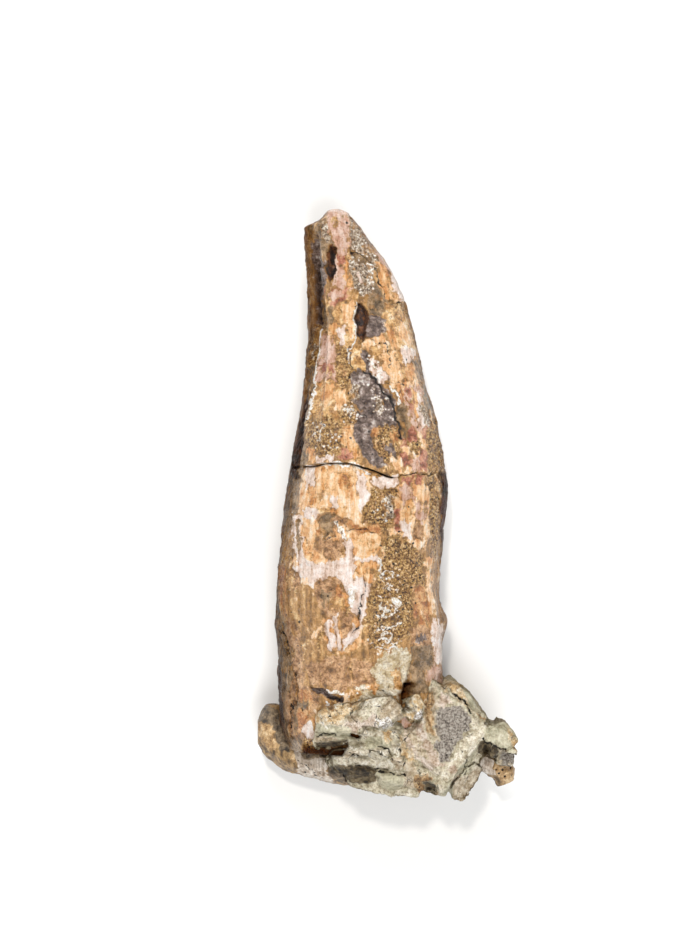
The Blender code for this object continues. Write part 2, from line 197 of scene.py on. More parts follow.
# Patches of minerals on the tooth's upper side, one painted over the other: mineral and the
# picture places of its corners.
TOOTH_PATCHES = (
    # the hollow left of the crown's front edge
    ("umber", ((302, 220), (314, 222), (313, 300), (316, 345), (322, 372), (320, 400), (312, 430),
        (306, 470), (284, 480), (294, 400), (302, 350))),
    ("crust", ((303, 232), (311, 230), (312, 290), (311, 335), (304, 320))),
    ("grey", ((304, 240), (310, 236), (311, 290), (309, 335), (304, 300))),
    ("dentine", ((313, 232), (322, 240), (327, 262), (325, 290), (322, 320), (317, 332),
        (311, 318), (310, 289), (312, 260))),
    ("umber", ((304, 338), (311, 342), (309, 400), (305, 430), (303, 456), (298, 476), (284, 478),
        (288, 440), (294, 400), (300, 370))),
    ("dentine", ((303, 348), (310, 352), (308, 400), (304, 430), (300, 456), (293, 472),
        (287, 470), (292, 430), (298, 390))),
    ("rust", ((291, 436), (297, 432), (296, 452), (290, 456))),
    ("crust", ((308, 324), (319, 326), (319, 352), (314, 368), (308, 350))),
    ("grey", ((310, 326), (318, 328), (318, 350), (313, 360), (309, 345))),
    ("crust", ((311, 376), (319, 370), (318, 400), (311, 425), (307, 440), (308, 410))),
    # the tip
    ("umber", ((345, 210), (357, 222), (369, 242), (360, 256), (350, 251), (347, 228))),
    ("dentine", ((348, 214), (357, 222), (370, 243), (360, 254), (352, 249), (350, 230))),
    ("grey", ((349, 216), (356, 222), (368, 243), (360, 252), (353, 247), (351, 230))),
    ("umber", ((316, 222), (329, 214), (333, 232), (336, 246), (329, 246), (323, 262), (317, 250))),
    ("grey", ((321, 224), (329, 220), (333, 236), (328, 246), (322, 238))),
    ("pink", ((330, 206), (343, 205), (348, 214), (348, 224), (350, 233), (352, 249), (345, 257),
        (337, 255), (333, 245), (329, 232), (327, 218))),
    ("pink", ((336, 254), (345, 256), (351, 262), (351, 290), (340, 292), (333, 284), (335, 268))),
    ("stain", ((343, 258), (350, 262), (351, 287), (345, 289))),
    ("hematite", ((336, 253), (344, 257), (344, 264), (338, 266))),
    ("grey", ((346, 250), (359, 246), (376, 254), (382, 264), (375, 272), (376, 285), (372, 297),
        (360, 298), (351, 284), (348, 266))),
    ("umber", ((356, 252), (368, 254), (372, 266), (362, 268), (354, 262))),
    ("grey", ((348, 262), (362, 264), (374, 282), (370, 296), (354, 292))),
    ("pale", ((355, 272), (360, 271), (364, 282), (358, 284))),
    ("umber", ((372, 268), (384, 280), (392, 300), (384, 304), (374, 294), (371, 280))),
    ("pink", ((373, 252), (384, 254), (394, 270), (404, 300), (398, 304), (390, 291), (382, 279))),
    ("stain", ((374, 262), (381, 264), (392, 286), (396, 299), (388, 298), (379, 284))),
    ("pale", ((385, 262), (392, 268), (403, 298), (399, 301), (390, 284))),
    ("crust", ((380, 300), (398, 302), (411, 318), (412, 328), (398, 322), (386, 314))),
    ("hematite", ((325, 289), (347, 286), (347, 300), (338, 308), (326, 304))),
    ("pink", ((328, 292), (342, 288), (344, 294), (332, 300))),
    ("umber", ((323, 304), (333, 308), (333, 322), (328, 332), (322, 330))),
    # between the pocket and the slot
    ("ochre", ((338, 302), (358, 295), (358, 327), (355, 345), (346, 372), (338, 384), (328, 384),
        (331, 330), (332, 316))),
    ("cream", ((342, 306), (354, 301), (356, 330), (350, 338), (344, 324))),
    ("stain", ((328, 324), (336, 322), (338, 338), (333, 350), (328, 340))),
    ("pink", ((325, 336), (336, 340), (337, 358), (336, 378), (324, 380), (319, 402), (318, 376))),
    ("hematite", ((324, 364), (335, 362), (333, 372), (325, 373))),
    ("crust", ((337, 346), (353, 350), (352, 378), (344, 392), (336, 380))),
    ("pale", ((338, 330), (344, 326), (346, 344), (341, 352))),
    ("umber", ((370, 294), (381, 296), (392, 305), (384, 318), (371, 314), (366, 303))),
    ("ochre", ((384, 304), (398, 306), (412, 322), (416, 350), (420, 372), (404, 392), (392, 380),
        (388, 350), (384, 322))),
    ("dentine", ((370, 314), (386, 318), (390, 330), (379, 336), (367, 336), (366, 326))),
    ("cream", ((366, 338), (382, 334), (389, 347), (379, 357), (369, 354), (362, 344))),
    ("ochre", ((371, 345), (384, 346), (379, 356), (369, 352))),
    ("stain", ((386, 322), (396, 326), (399, 348), (393, 354), (388, 340))),
    ("cream", ((398, 322), (406, 326), (412, 338), (409, 346), (400, 342))),
    ("pale", ((400, 348), (413, 348), (416, 362), (404, 368))),
    ("grey", ((406, 364), (418, 366), (422, 380), (410, 380))),
    ("cream", ((380, 354), (394, 350), (403, 376), (398, 390), (387, 378))),
    ("stain", ((403, 366), (414, 364), (420, 386), (410, 388))),
    ("ochre", ((352, 344), (365, 350), (364, 372), (352, 372))),
    ("dentine", ((362, 350), (370, 352), (376, 372), (384, 386), (376, 384), (366, 374))),
    ("grey", ((366, 354), (379, 359), (388, 378), (382, 384), (366, 375))),
    ("pale", ((366, 355), (376, 356), (382, 364), (389, 378), (382, 384), (372, 375), (366, 366))),
    # painted glints on the pale chip
    ("crumb_and_glint", ((368, 358), (374, 360), (380, 372), (374, 370))),
    # left of the front face, under the slot
    ("ochre", ((317, 386), (334, 380), (346, 390), (350, 404), (346, 424), (330, 424), (314, 416))),
    ("stain", ((320, 384), (333, 382), (335, 398), (327, 408), (319, 400))),
    ("cream", ((333, 390), (346, 388), (346, 408), (336, 410))),
    ("crust", ((340, 408), (352, 400), (364, 416), (358, 428), (342, 424))),
    ("crust", ((308, 423), (331, 416), (344, 426), (348, 442), (333, 454), (312, 458), (304, 446))),
    ("stain", ((343, 426), (356, 424), (362, 446), (359, 462), (349, 458), (342, 443))),
    ("cream", ((346, 430), (354, 430), (355, 445), (347, 443))),
    ("hematite", ((341, 449), (353, 452), (352, 460), (339, 458))),
    ("stain", ((306, 448), (317, 450), (318, 462), (308, 464))),
    ("pale", ((316, 457), (334, 454), (335, 461), (316, 465))),
    # the dark dentine laid bare beside the slot, and its sooty foot
    ("dentine", ((352, 371), (366, 371), (383, 385), (392, 393), (398, 412), (402, 426),
        (393, 436), (376, 426), (369, 414), (358, 406), (351, 397))),
    ("grey", ((351, 384), (360, 386), (361, 400), (352, 397))),
    ("grey", ((374, 396), (380, 396), (384, 414), (377, 414))),
    ("dentine", ((358, 410), (372, 412), (386, 426), (380, 452), (386, 467), (366, 464),
        (360, 446), (352, 428))),
    ("crust", ((376, 428), (398, 426), (402, 455), (390, 466), (380, 456), (372, 442))),
    ("rust", ((391, 432), (400, 430), (401, 442), (391, 445))),
    ("rust", ((372, 426), (380, 430), (378, 440), (370, 436))),
    ("dentine", ((385, 444), (396, 445), (395, 455), (386, 453))),
    ("cream", ((388, 454), (399, 459), (402, 474), (390, 470))),
    # the right of the crown: pale enamel with hematite
    ("cream", ((399, 382), (424, 380), (436, 420), (442, 470), (404, 476), (402, 430), (397, 400))),
    ("pink", ((402, 392), (410, 384), (421, 390), (426, 403), (433, 410), (434, 428), (421, 432),
        (409, 428), (401, 412))),
    ("pale", ((412, 392), (419, 394), (421, 404), (427, 412), (427, 424), (419, 426), (414, 412))),
    ("stain", ((411, 386), (415, 388), (418, 416), (414, 420))),
    ("rust", ((396, 391), (404, 389), (404, 402), (397, 402))),
    ("hematite", ((405, 387), (412, 388), (411, 396), (406, 395))),
    ("hematite", ((407, 398), (413, 399), (413, 410), (407, 409))),
    ("hematite", ((399, 421), (412, 422), (418, 434), (415, 444), (404, 447), (399, 434))),
    ("hematite", ((420, 425), (430, 427), (431, 439), (423, 441))),
    ("umber", ((397, 404), (404, 400), (409, 424), (405, 440), (399, 430))),
    ("grey", ((418, 404), (430, 408), (434, 424), (424, 424))),
    ("crust", ((408, 441), (422, 441), (421, 453), (409, 453))),
    ("hematite", ((398, 453), (411, 455), (411, 467), (400, 467))),
    ("pink", ((410, 456), (420, 456), (420, 474), (411, 474))),
    ("hematite", ((419, 449), (427, 449), (428, 471), (420, 470))),
    ("crust", ((427, 428), (437, 418), (449, 452), (448, 478), (430, 475), (426, 452))),
    ("umber", ((422, 388), (434, 396), (438, 420), (430, 416), (424, 404))),
    ("umber", ((412, 358), (424, 362), (430, 392), (420, 386))),
    # enamel under the break
    ("cream", ((303, 468), (324, 464), (352, 462), (368, 470), (372, 491), (371, 504), (362, 512),
        (364, 524), (382, 530), (382, 572), (366, 590), (340, 584), (312, 588), (296, 578),
        (292, 560), (300, 540), (298, 500))),
    ("pale", ((305, 468), (316, 467), (317, 484), (307, 487))),
    ("stain", ((308, 484), (321, 484), (322, 504), (312, 507))),
    ("stain", ((321, 468), (327, 467), (327, 486), (322, 492))),
    ("stain", ((339, 472), (352, 470), (353, 484), (349, 499), (342, 492))),
    ("rust", ((344, 474), (349, 474), (349, 488), (345, 488))),
    ("pale", ((330, 495), (337, 495), (337, 509), (331, 509))),
    ("stain", ((329, 508), (347, 506), (348, 516), (340, 520), (330, 514))),
    ("pale", ((356, 472), (366, 475), (369, 500), (362, 516), (357, 500))),
    ("umber", ((282, 477), (301, 471), (301, 500), (296, 516), (288, 534), (282, 520))),
    ("pale", ((303, 508), (321, 508), (320, 517), (305, 518))),
    ("pale", ((371, 478), (396, 476), (398, 484), (384, 489), (372, 487))),
    ("ochre", ((322, 506), (330, 508), (330, 515), (321, 515))),
    ("crust", ((370, 491), (396, 487), (400, 500), (392, 524), (386, 534), (374, 530), (361, 512),
        (368, 506))),
    ("grey", ((384, 498), (396, 494), (392, 520), (384, 522))),
    ("rust", ((344, 519), (360, 524), (380, 524), (384, 534), (366, 532), (348, 530))),
    ("brown", ((318, 514), (336, 514), (348, 521), (346, 527), (335, 523), (334, 536), (325, 537),
        (319, 526))),
    ("umber", ((320, 516), (333, 516), (333, 535), (325, 536), (320, 526))),
    ("brown", ((333, 515), (346, 521), (344, 526), (333, 522))),
    # a painted glint along the flake's edge
    ("crumb_and_glint", ((333, 523), (338, 523), (347, 538), (343, 541))),
    ("rust", ((315, 527), (321, 529), (324, 542), (317, 544))),
    ("brown", ((316, 536), (330, 540), (343, 538), (343, 554), (334, 560), (322, 557), (315, 548))),
    ("pale", ((343, 541), (352, 540), (354, 558), (346, 562))),
    ("stain", ((365, 540), (375, 539), (376, 552), (368, 554))),
    ("stain", ((354, 536), (362, 536), (361, 543), (355, 543))),
    ("stain", ((376, 544), (382, 546), (381, 556), (377, 554))),
    ("pale", ((293, 512), (302, 516), (303, 537), (308, 550), (314, 564), (304, 573), (296, 558),
        (292, 538))),
    ("umber", ((297, 520), (300, 522), (303, 545), (299, 552), (296, 536))),
    ("stain", ((305, 542), (311, 544), (311, 559), (306, 558))),
    # pink enamel right of the crust
    ("cream", ((396, 481), (410, 477), (429, 486), (434, 520), (422, 550), (402, 546), (391, 532),
        (396, 505))),
    ("pink", ((398, 486), (412, 482), (414, 500), (402, 510))),
    ("hematite", ((398, 480), (412, 474), (426, 478), (420, 484), (406, 486))),
    ("hematite", ((393, 508), (400, 506), (400, 530), (394, 532))),
    ("stain", ((404, 500), (412, 500), (411, 520), (404, 518))),
    ("pink", ((413, 500), (425, 502), (427, 520), (416, 522))),
    ("pale", ((400, 519), (410, 522), (412, 540), (402, 538))),
    ("brown", ((414, 522), (423, 522), (422, 540), (414, 538))),
    ("crust", ((427, 476), (440, 478), (442, 520), (436, 560), (430, 540), (429, 500))),
    ("umber", ((440, 470), (452, 476), (452, 520), (447, 556), (443, 590), (440, 540))),
    ("hematite", ((441, 496), (448, 496), (447, 532), (441, 530))),
    # the white band and the streaks under it
    ("pale", ((291, 566), (302, 570), (321, 563), (341, 559), (360, 557), (379, 556), (380, 564),
        (360, 566), (350, 578), (338, 584), (333, 577), (324, 580), (314, 590), (309, 578),
        (296, 578))),
    ("brown", ((292, 574), (302, 576), (300, 586), (292, 584))),
    ("stain", ((353, 562), (376, 562), (378, 572), (364, 578), (355, 573))),
    ("brown", ((316, 582), (326, 580), (334, 578), (346, 590), (348, 603), (352, 616), (356, 618),
        (352, 632), (346, 622), (338, 620), (328, 618), (320, 606), (313, 598))),
    ("rust", ((336, 584), (346, 592), (348, 606), (340, 612), (334, 600))),
    ("umber", ((320, 592), (330, 590), (332, 604), (322, 606))),
    ("pale", ((344, 582), (352, 577), (363, 580), (364, 594), (360, 612), (354, 616), (349, 602))),
    ("stain", ((342, 592), (347, 594), (351, 612), (346, 610))),
    # a painted highlight on the glossy enamel
    ("crumb_and_glint", ((349, 589), (355, 588), (357, 598), (353, 607), (350, 600))),
    ("pale", ((365, 584), (370, 584), (368, 600), (361, 628), (356, 634), (362, 604))),
    ("stain", ((323, 616), (360, 620), (362, 640), (350, 654), (330, 652), (322, 636))),
    ("pale", ((325, 622), (331, 618), (334, 640), (336, 653), (330, 650), (327, 640))),
    ("pale", ((333, 616), (338, 615), (339, 630), (342, 648), (337, 650), (335, 634))),
    ("pale", ((341, 618), (345, 620), (345, 634), (347, 644), (343, 642))),
    ("pale", ((350, 626), (356, 628), (360, 626), (352, 644), (342, 650), (345, 642))),
    ("brown", ((340, 618), (350, 620), (349, 634), (343, 636))),
    ("cream", ((325, 625), (316, 639), (312, 636), (322, 624))),
    ("cream", ((424, 556), (432, 560), (434, 614), (428, 614), (426, 590))),
    ("pale", ((431, 616), (440, 622), (444, 660), (436, 668), (431, 640))),
    ("crust", ((378, 570), (386, 540), (398, 534), (424, 556), (424, 600), (412, 632), (396, 646),
        (372, 650), (364, 624), (370, 596))),
    ("rust", ((412, 588), (424, 584), (430, 604), (431, 630), (420, 632), (414, 612))),
    ("brown", ((410, 630), (430, 626), (431, 646), (414, 648))),
    ("dentine", ((416, 634), (426, 634), (426, 642), (417, 643))),
    ("crumb_and_glint", ((391, 597), (399, 595), (402, 603), (396, 608), (391, 605))),
    ("umber", ((262, 540), (278, 540), (284, 570), (282, 600), (262, 600))),
    ("umber", ((262, 600), (282, 600), (292, 660), (297, 700), (293, 744), (262, 744))),
    ("rust", ((276, 560), (286, 566), (288, 610), (284, 620), (278, 600))),
    ("brown", ((284, 616), (300, 630), (304, 680), (294, 700), (288, 660))),
    ("umber", ((286, 640), (292, 650), (294, 690), (288, 700), (284, 670))),
    # mud on the lower root
    ("brown", ((304, 664), (340, 656), (372, 664), (380, 684), (350, 690), (316, 684))),
    ("umber", ((411, 647), (432, 645), (438, 672), (428, 692), (410, 698), (408, 674))),
    ("pink", ((427, 668), (444, 662), (446, 686), (432, 692), (425, 682))),
    ("rust", ((436, 664), (444, 664), (446, 676), (438, 678))),
    ("clay", ((381, 655), (391, 649), (411, 648), (413, 662), (410, 673), (399, 674), (395, 686),
        (376, 684), (370, 672))),
    ("clay", ((396, 674), (411, 674), (406, 702), (394, 702))),
    ("ochre", ((390, 672), (399, 668), (401, 686), (392, 690))),
    ("brown", ((290, 680), (312, 690), (320, 700), (314, 716), (309, 728), (302, 740), (288, 740),
        (286, 706))),
    ("rust", ((296, 686), (308, 692), (314, 702), (308, 712), (298, 706))),
    ("umber", ((296, 700), (310, 704), (308, 722), (300, 734), (294, 728))),
    ("dentine", ((299, 710), (310, 712), (307, 726), (299, 730))),
    ("rust", ((297, 708), (312, 710), (309, 730), (297, 734))),
    ("pale", ((303, 729), (309, 720), (313, 724), (314, 737), (310, 742), (303, 738))),
    ("rust", ((313, 717), (318, 718), (318, 727), (314, 726))),
    ("clay", ((346, 692), (358, 686), (392, 684), (396, 696), (372, 702), (350, 706))),
    ("ochre", ((330, 702), (340, 690), (362, 688), (360, 700), (338, 710))),
    ("cream", ((336, 702), (346, 692), (356, 692), (348, 702), (340, 708))),
    ("stain", ((366, 684), (380, 686), (376, 692), (366, 692))),
    ("umber", ((284, 738), (304, 740), (330, 738), (354, 738), (356, 762), (290, 762))),
    ("crust", ((302, 738), (316, 742), (324, 750), (312, 754), (300, 748))),
    ("umber", ((342, 728), (368, 728), (368, 744), (342, 744))),
    ("pink", ((396, 712), (414, 712), (414, 730), (396, 730))),
)
# Sunk places of the tooth: depth in mm, width of the wall in px, mineral, corners. Where the
# mineral is hollow, the inside is painted near black as shade.
TOOTH_HOLLOWS = (
    (2.4, 1.6, "hollow", ((358, 304), (364, 306), (371, 315), (368, 325), (367, 335), (362, 342),
        (358, 334), (355, 317))),
    (1.9, 2.2, "hollow", ((331, 244), (336, 248), (336, 271), (329, 282), (326, 276), (325, 252))),
    (1.4, 1.6, "dentine", ((308, 689), (318, 688), (327, 691), (334, 694), (346, 697), (344, 702),
        (335, 702), (326, 698), (315, 695))),
    (2.4, 1.6, "hollow", ((401, 692), (405, 685), (411, 682), (414, 684), (411, 690), (408, 697),
        (407, 705), (400, 705))),
    (0.7, 1.4, "dentine", ((364, 354), (368, 352), (369, 374), (380, 384), (377, 387), (364, 377))),
)
# Flakes lost from the tooth: depth in mm, width of the wall in px, corners.
TOOTH_FLAKES = (
    (0.45, 1.3, ((353, 371), (366, 371), (382, 385), (391, 393), (397, 412), (402, 436),
        (392, 431), (376, 422), (371, 413), (359, 405), (352, 397))),
    (0.30, 1.5, ((359, 418), (371, 416), (384, 428), (378, 452), (384, 466), (368, 463), (363, 446))),
    (0.25, 1.0, ((320, 514), (336, 514), (346, 521), (344, 526), (334, 522), (333, 535),
        (325, 536), (321, 526))),
    (0.35, 1.4, ((351, 344), (360, 342), (367, 353), (364, 371), (352, 372))),
    (0.22, 1.2, ((368, 315), (386, 319), (389, 329), (378, 335), (367, 335))),
    (0.20, 1.6, ((371, 492), (396, 487), (399, 500), (391, 524), (383, 530), (376, 524),
        (362, 514), (369, 507))),
)
# Ridges of the tooth, and grooves where the height is negative: height in mm, half width
# in px and picture places.
TOOTH_SWELLS = (
    (0.5, 5, ((306, 236), (309, 270), (310, 300), (309, 332))),
    (-0.7, 5, ((316, 236), (317, 270), (317, 300), (319, 326))),
    (0.9, 6, ((313, 326), (313, 345), (311, 366))),
    (0.4, 5, ((375, 257), (386, 272), (399, 301))),
    (-0.4, 4, ((353, 253), (366, 263), (378, 282), (389, 300))),
    (0.35, 6, ((336, 212), (341, 236), (343, 256))),
    (-0.35, 4, ((351, 216), (355, 240), (352, 252))),
    (0.45, 5, ((326, 328), (324, 350), (320, 372), (315, 400), (308, 424))),
    (-0.5, 5, ((308, 345), (306, 380), (302, 420), (296, 466))),
    (0.3, 4, ((346, 584), (353, 594), (357, 612))),
    (-0.4, 3, ((365, 580), (362, 605), (355, 632))),
    (0.35, 3, ((328, 620), (331, 638), (334, 652))),
    (0.35, 3, ((336, 616), (337, 632), (340, 648))),
    (0.35, 3, ((358, 626), (351, 640), (345, 650))),
    (-0.25, 4, ((343, 600), (346, 630))),
    (0.3, 4, ((297, 515), (302, 540), (310, 562))),
    (0.3, 5, ((433, 600), (436, 640), (438, 672))),
    (0.4, 8, ((392, 656), (397, 680), (400, 702))),
    (-0.5, 5, ((408, 700), (411, 672), (418, 652))),
    (0.25, 3, ((386, 540), (378, 570), (368, 600))),
    (0.3, 4, ((397, 384), (402, 410), (404, 440))),
)
# Cracks of the tooth: half width in px, depth in mm, darkness, picture places along it. The
# darkness of the first, along the bare dentine's edge, and of the last, in the slot of the lower
# root, is painted shade.
TOOTH_CRACKS = (
    (1.0, 0.55, 0.95, ((362, 371), (372, 377), (381, 384), (385, 391), (391, 397), (393, 406),
        (397, 413), (400, 425), (402, 437))),
    (0.6, 0.35, 0.80, ((351, 251), (362, 253), (372, 264), (379, 280), (390, 294))),
    (0.5, 0.30, 0.70, ((400, 477), (406, 475), (413, 474), (420, 475), (431, 476), (438, 472))),
    (0.6, 0.40, 0.80, ((364, 578), (364, 593), (361, 609), (357, 628), (353, 632))),
    (0.5, 0.30, 0.70, ((345, 532), (356, 528), (366, 528), (376, 533))),
    (0.6, 0.35, 0.75, ((293, 668), (297, 682), (296, 700), (291, 716), (290, 738))),
    (0.5, 0.25, 0.70, ((283, 630), (287, 645), (289, 652), (290, 664))),
    (0.5, 0.25, 0.60, ((372, 690), (384, 692), (390, 697))),
    (0.5, 0.25, 0.60, ((391, 299), (398, 302), (401, 304))),
    (0.5, 0.25, 0.65, ((352, 372), (346, 384), (350, 398), (357, 408), (366, 418))),
    (0.5, 0.25, 0.60, ((368, 336), (374, 342), (384, 344), (390, 352), (392, 366))),
    (0.5, 0.25, 0.60, ((386, 384), (392, 380), (402, 384), (408, 380))),
    (0.5, 0.25, 0.60, ((320, 516), (318, 528), (325, 538), (334, 537), (336, 524), (346, 526))),
    (0.7, 0.30, 0.60, ((351, 345), (353, 357), (351, 366))),
    (0.8, 0.30, 0.75, ((326, 697), (334, 700), (343, 700))),
)
# Thin white rims of chipped enamel: half width in px and picture places. The widest, on the
# upper edge of the slot in the lower root, is a painted highlight.
TOOTH_RIMS = (
    (0.8, ((357, 304), (355, 318), (357, 334), (353, 344), (351, 352), (350, 362))),
    (0.9, ((325, 330), (323, 350), (321, 366), (319, 380), (315, 398), (310, 420))),
    (0.8, ((391, 385), (396, 394), (397, 404))),
    (0.8, ((318, 464), (340, 465), (352, 464), (362, 470), (370, 473))),
    (0.8, ((380, 558), (382, 566), (380, 572))),
    (0.7, ((392, 636), (388, 641), (381, 640), (386, 632))),
    (0.7, ((384, 611), (388, 616), (393, 613), (394, 608))),
    # a painted highlight on the slot's upper edge
    (1.5, ((330, 690), (337, 691), (344, 694))),
    (0.6, ((380, 576), (386, 572), (392, 574))),
    (0.6, ((377, 594), (382, 598), (381, 606), (386, 610))),
    (0.6, ((388, 630), (396, 626), (402, 622))),
    (0.6, ((376, 648), (384, 650), (390, 646), (396, 650))),
)
# Areas with black specks, and areas with white crumbs and painted glints.
SPECKED = (
    ((372, 492), (398, 488), (398, 528), (424, 545), (424, 600), (410, 632), (380, 640),
        (374, 590), (384, 560), (366, 516)),
    ((280, 610), (300, 606), (308, 640), (300, 670), (284, 670)),
    ((308, 420), (345, 425), (345, 450), (362, 462), (310, 462)),
    ((360, 410), (400, 430), (400, 470), (368, 466)),
    ((425, 420), (447, 440), (448, 500), (430, 545), (426, 476)),
)
# Areas of the tooth that are darkened, mostly as painted shade on the flanks, in the hole by the stone
# and in the gaps under the stone: how dark, from 0 to 1, and corners.
SHADED_AREAS = (
    (0.25, ((313, 276), (322, 276), (322, 316), (317, 326), (312, 316))),
    (1.0, ((286, 380), (300, 376), (304, 400), (302, 440), (298, 476), (282, 476))),
    (1.0, ((441, 474), (452, 478), (452, 520), (446, 556), (441, 540))),
    (1.0, ((266, 660), (278, 664), (283, 700), (282, 740), (266, 740))),
    (1.0, ((266, 478), (285, 476), (281, 520), (274, 550), (262, 560))),
    (1.0, ((344, 730), (366, 730), (366, 744), (344, 744))),
    (1.0, ((302, 747), (346, 745), (352, 760), (304, 760))),
    (1.0, ((396, 684), (404, 684), (408, 680), (416, 682), (408, 706), (396, 706))),
    (0.3, ((262, 478), (297, 478), (293, 520), (289, 560), (292, 600), (296, 650), (299, 700),
        (297, 744), (262, 744))),
    (0.12, ((396, 400), (411, 400), (414, 440), (400, 440))),
    (0.12, ((392, 488), (412, 488), (410, 532), (392, 532))),
)
CRUMBED_AND_GLINTING = (
    ((376, 572), (404, 566), (404, 600), (398, 620), (376, 618), (384, 596)),
    ((372, 620), (404, 622), (402, 640), (392, 654), (376, 656), (368, 640)),
    ((372, 492), (396, 490), (392, 520), (376, 522)),
    ((310, 424), (342, 424), (344, 446), (316, 454)),
    ((346, 684), (370, 683), (372, 692), (350, 696)),
    ((330, 688), (345, 689), (344, 696), (334, 694)),
    ((322, 702), (336, 702), (338, 712), (326, 714)),
    ((360, 378), (392, 392), (398, 424), (372, 412)),
    ((364, 352), (378, 354), (390, 378), (384, 386), (366, 374)),
    ((346, 250), (376, 254), (376, 292), (356, 296)),
    ((338, 404), (352, 400), (364, 416), (344, 426)),
)

# Colourings of the stone, in the order of their paint channels. The dark tint is painted shade,
# in holes and under the ledges and the chip, and the white tint is painted glints.
STONE_TINTS = ("pale", "tan", "rust", "speckle", "dark", "pink", "white", "moss", "yellow")
STONE_PATCHES = (
    # the upper ledge with its three ridges
    ("yellow", ((309, 706), (318, 700), (326, 706), (334, 720), (330, 728), (314, 724))),
    ("yellow", ((322, 700), (362, 693), (364, 701), (352, 716), (340, 728), (330, 724), (326, 708))),
    ("yellow", ((338, 704), (352, 694), (366, 693), (360, 704), (346, 714))),
    ("rust", ((345, 702), (352, 696), (360, 697), (356, 703), (348, 707))),
    ("rust", ((324, 701), (334, 700), (336, 710), (329, 712))),
    ("pale", ((362, 697), (388, 691), (390, 703), (372, 713), (352, 723), (345, 720), (356, 708))),
    ("tan", ((388, 692), (404, 700), (402, 716), (388, 722), (377, 716))),
    # painted glints on the ledge
    ("white", ((377, 718), (391, 716), (391, 725), (378, 728))),
    ("tan", ((346, 717), (358, 714), (366, 718), (357, 725), (348, 725))),
    ("pink", ((344, 725), (362, 722), (376, 712), (378, 728), (364, 730), (358, 735), (346, 734))),
    # the bands under it
    ("moss", ((316, 722), (344, 727), (356, 734), (355, 741), (318, 741))),
    ("tan", ((315, 736), (338, 738), (338, 744), (318, 744))),
    # painted shade under the root's end
    ("dark", ((316, 744), (334, 741), (350, 740), (347, 750), (334, 755), (320, 752))),
    # the middle and the low ledge
    ("pale", ((358, 728), (372, 729), (388, 728), (400, 734), (404, 748), (396, 752), (382, 748),
        (366, 747), (358, 740))),
    ("moss", ((360, 740), (376, 736), (392, 742), (390, 750), (370, 750))),
    ("yellow", ((381, 730), (388, 730), (391, 742), (385, 744))),
    ("yellow", ((398, 733), (408, 738), (417, 750), (420, 764), (408, 766), (402, 752))),
    ("pale", ((332, 758), (346, 750), (360, 748), (380, 750), (402, 757), (403, 773), (376, 767),
        (340, 765))),
    ("tan", ((344, 752), (358, 750), (360, 757), (346, 760))),
    ("tan", ((388, 757), (402, 756), (403, 768), (394, 768))),
    ("yellow", ((336, 697), (350, 691), (366, 688), (394, 688), (394, 693), (366, 697),
        (350, 701), (338, 704))),
    # painted shade under the low ledge
    ("dark", ((330, 766), (352, 765), (378, 770), (378, 780), (366, 785), (340, 783))),
    ("moss", ((378, 774), (390, 770), (404, 774), (404, 785), (392, 790), (380, 786))),
    ("tan", ((404, 762), (416, 762), (420, 776), (414, 790), (404, 786))),
    ("rust", ((415, 773), (428, 774), (438, 784), (438, 795), (422, 795), (413, 786))),
    # painted shade in the rusty hole
    ("dark", ((424, 781), (434, 781), (438, 788), (434, 794), (426, 792))),
    # the large flat
    ("pink", ((400, 722), (424, 722), (438, 742), (446, 766), (430, 770), (408, 748))),
    ("tan", ((404, 728), (414, 726), (422, 744), (430, 760), (418, 756))),
    ("speckle", ((434, 707), (458, 705), (474, 718), (472, 732), (458, 744), (450, 760),
        (440, 763), (434, 744), (429, 724))),
    ("pink", ((433, 693), (446, 694), (453, 702), (444, 708), (434, 704))),
    ("tan", ((421, 688), (437, 686), (438, 706), (435, 722), (440, 742), (430, 738), (420, 716))),
    ("rust", ((424, 690), (433, 690), (433, 716), (436, 738), (428, 734), (423, 708))),
    # painted shade in the hole left of the wedge
    ("dark", ((399, 686), (408, 681), (416, 683), (409, 692), (406, 702), (412, 711), (404, 712),
        (399, 704))),
    ("yellow", ((408, 695), (418, 692), (425, 696), (424, 706), (418, 718), (412, 708))),
    # painted glints on the wedge
    ("white", ((413, 711), (422, 710), (421, 718), (415, 719))),
    ("yellow", ((402, 714), (414, 713), (416, 722), (404, 724))),
    # the layer over it, the rim under it and the chip at its right
    ("yellow", ((440, 680), (455, 681), (470, 692), (477, 702), (477, 713), (466, 706),
        (452, 694), (440, 688))),
    ("moss", ((462, 690), (471, 692), (477, 702), (477, 712), (469, 704))),
    ("rust", ((476, 712), (487, 720), (486, 724), (478, 720))),
    ("pale", ((462, 738), (470, 733), (484, 736), (478, 748), (462, 766), (450, 784), (438, 780),
        (450, 764), (457, 750))),
    ("pink", ((448, 768), (457, 763), (460, 770), (452, 779))),
    ("moss", ((484, 738), (480, 752), (466, 770), (456, 792), (440, 797), (446, 785), (462, 765))),
    ("tan", ((454, 776), (466, 771), (480, 763), (486, 776), (472, 802), (450, 802))),
    ("pale", ((470, 717), (486, 721), (487, 738), (478, 738))),
    ("moss", ((482, 738), (489, 718), (502, 712), (514, 722), (521, 744), (517, 750), (499, 751))),
    ("yellow", ((504, 721), (512, 732), (517, 742), (516, 750), (511, 744), (507, 732))),
    # painted shade under the chip
    ("dark", ((478, 740), (490, 743), (498, 750), (499, 760), (490, 762), (480, 756))),
    ("tan", ((498, 750), (516, 751), (518, 766), (499, 768))),
    ("speckle", ((500, 753), (516, 752), (516, 762), (502, 764))),
)
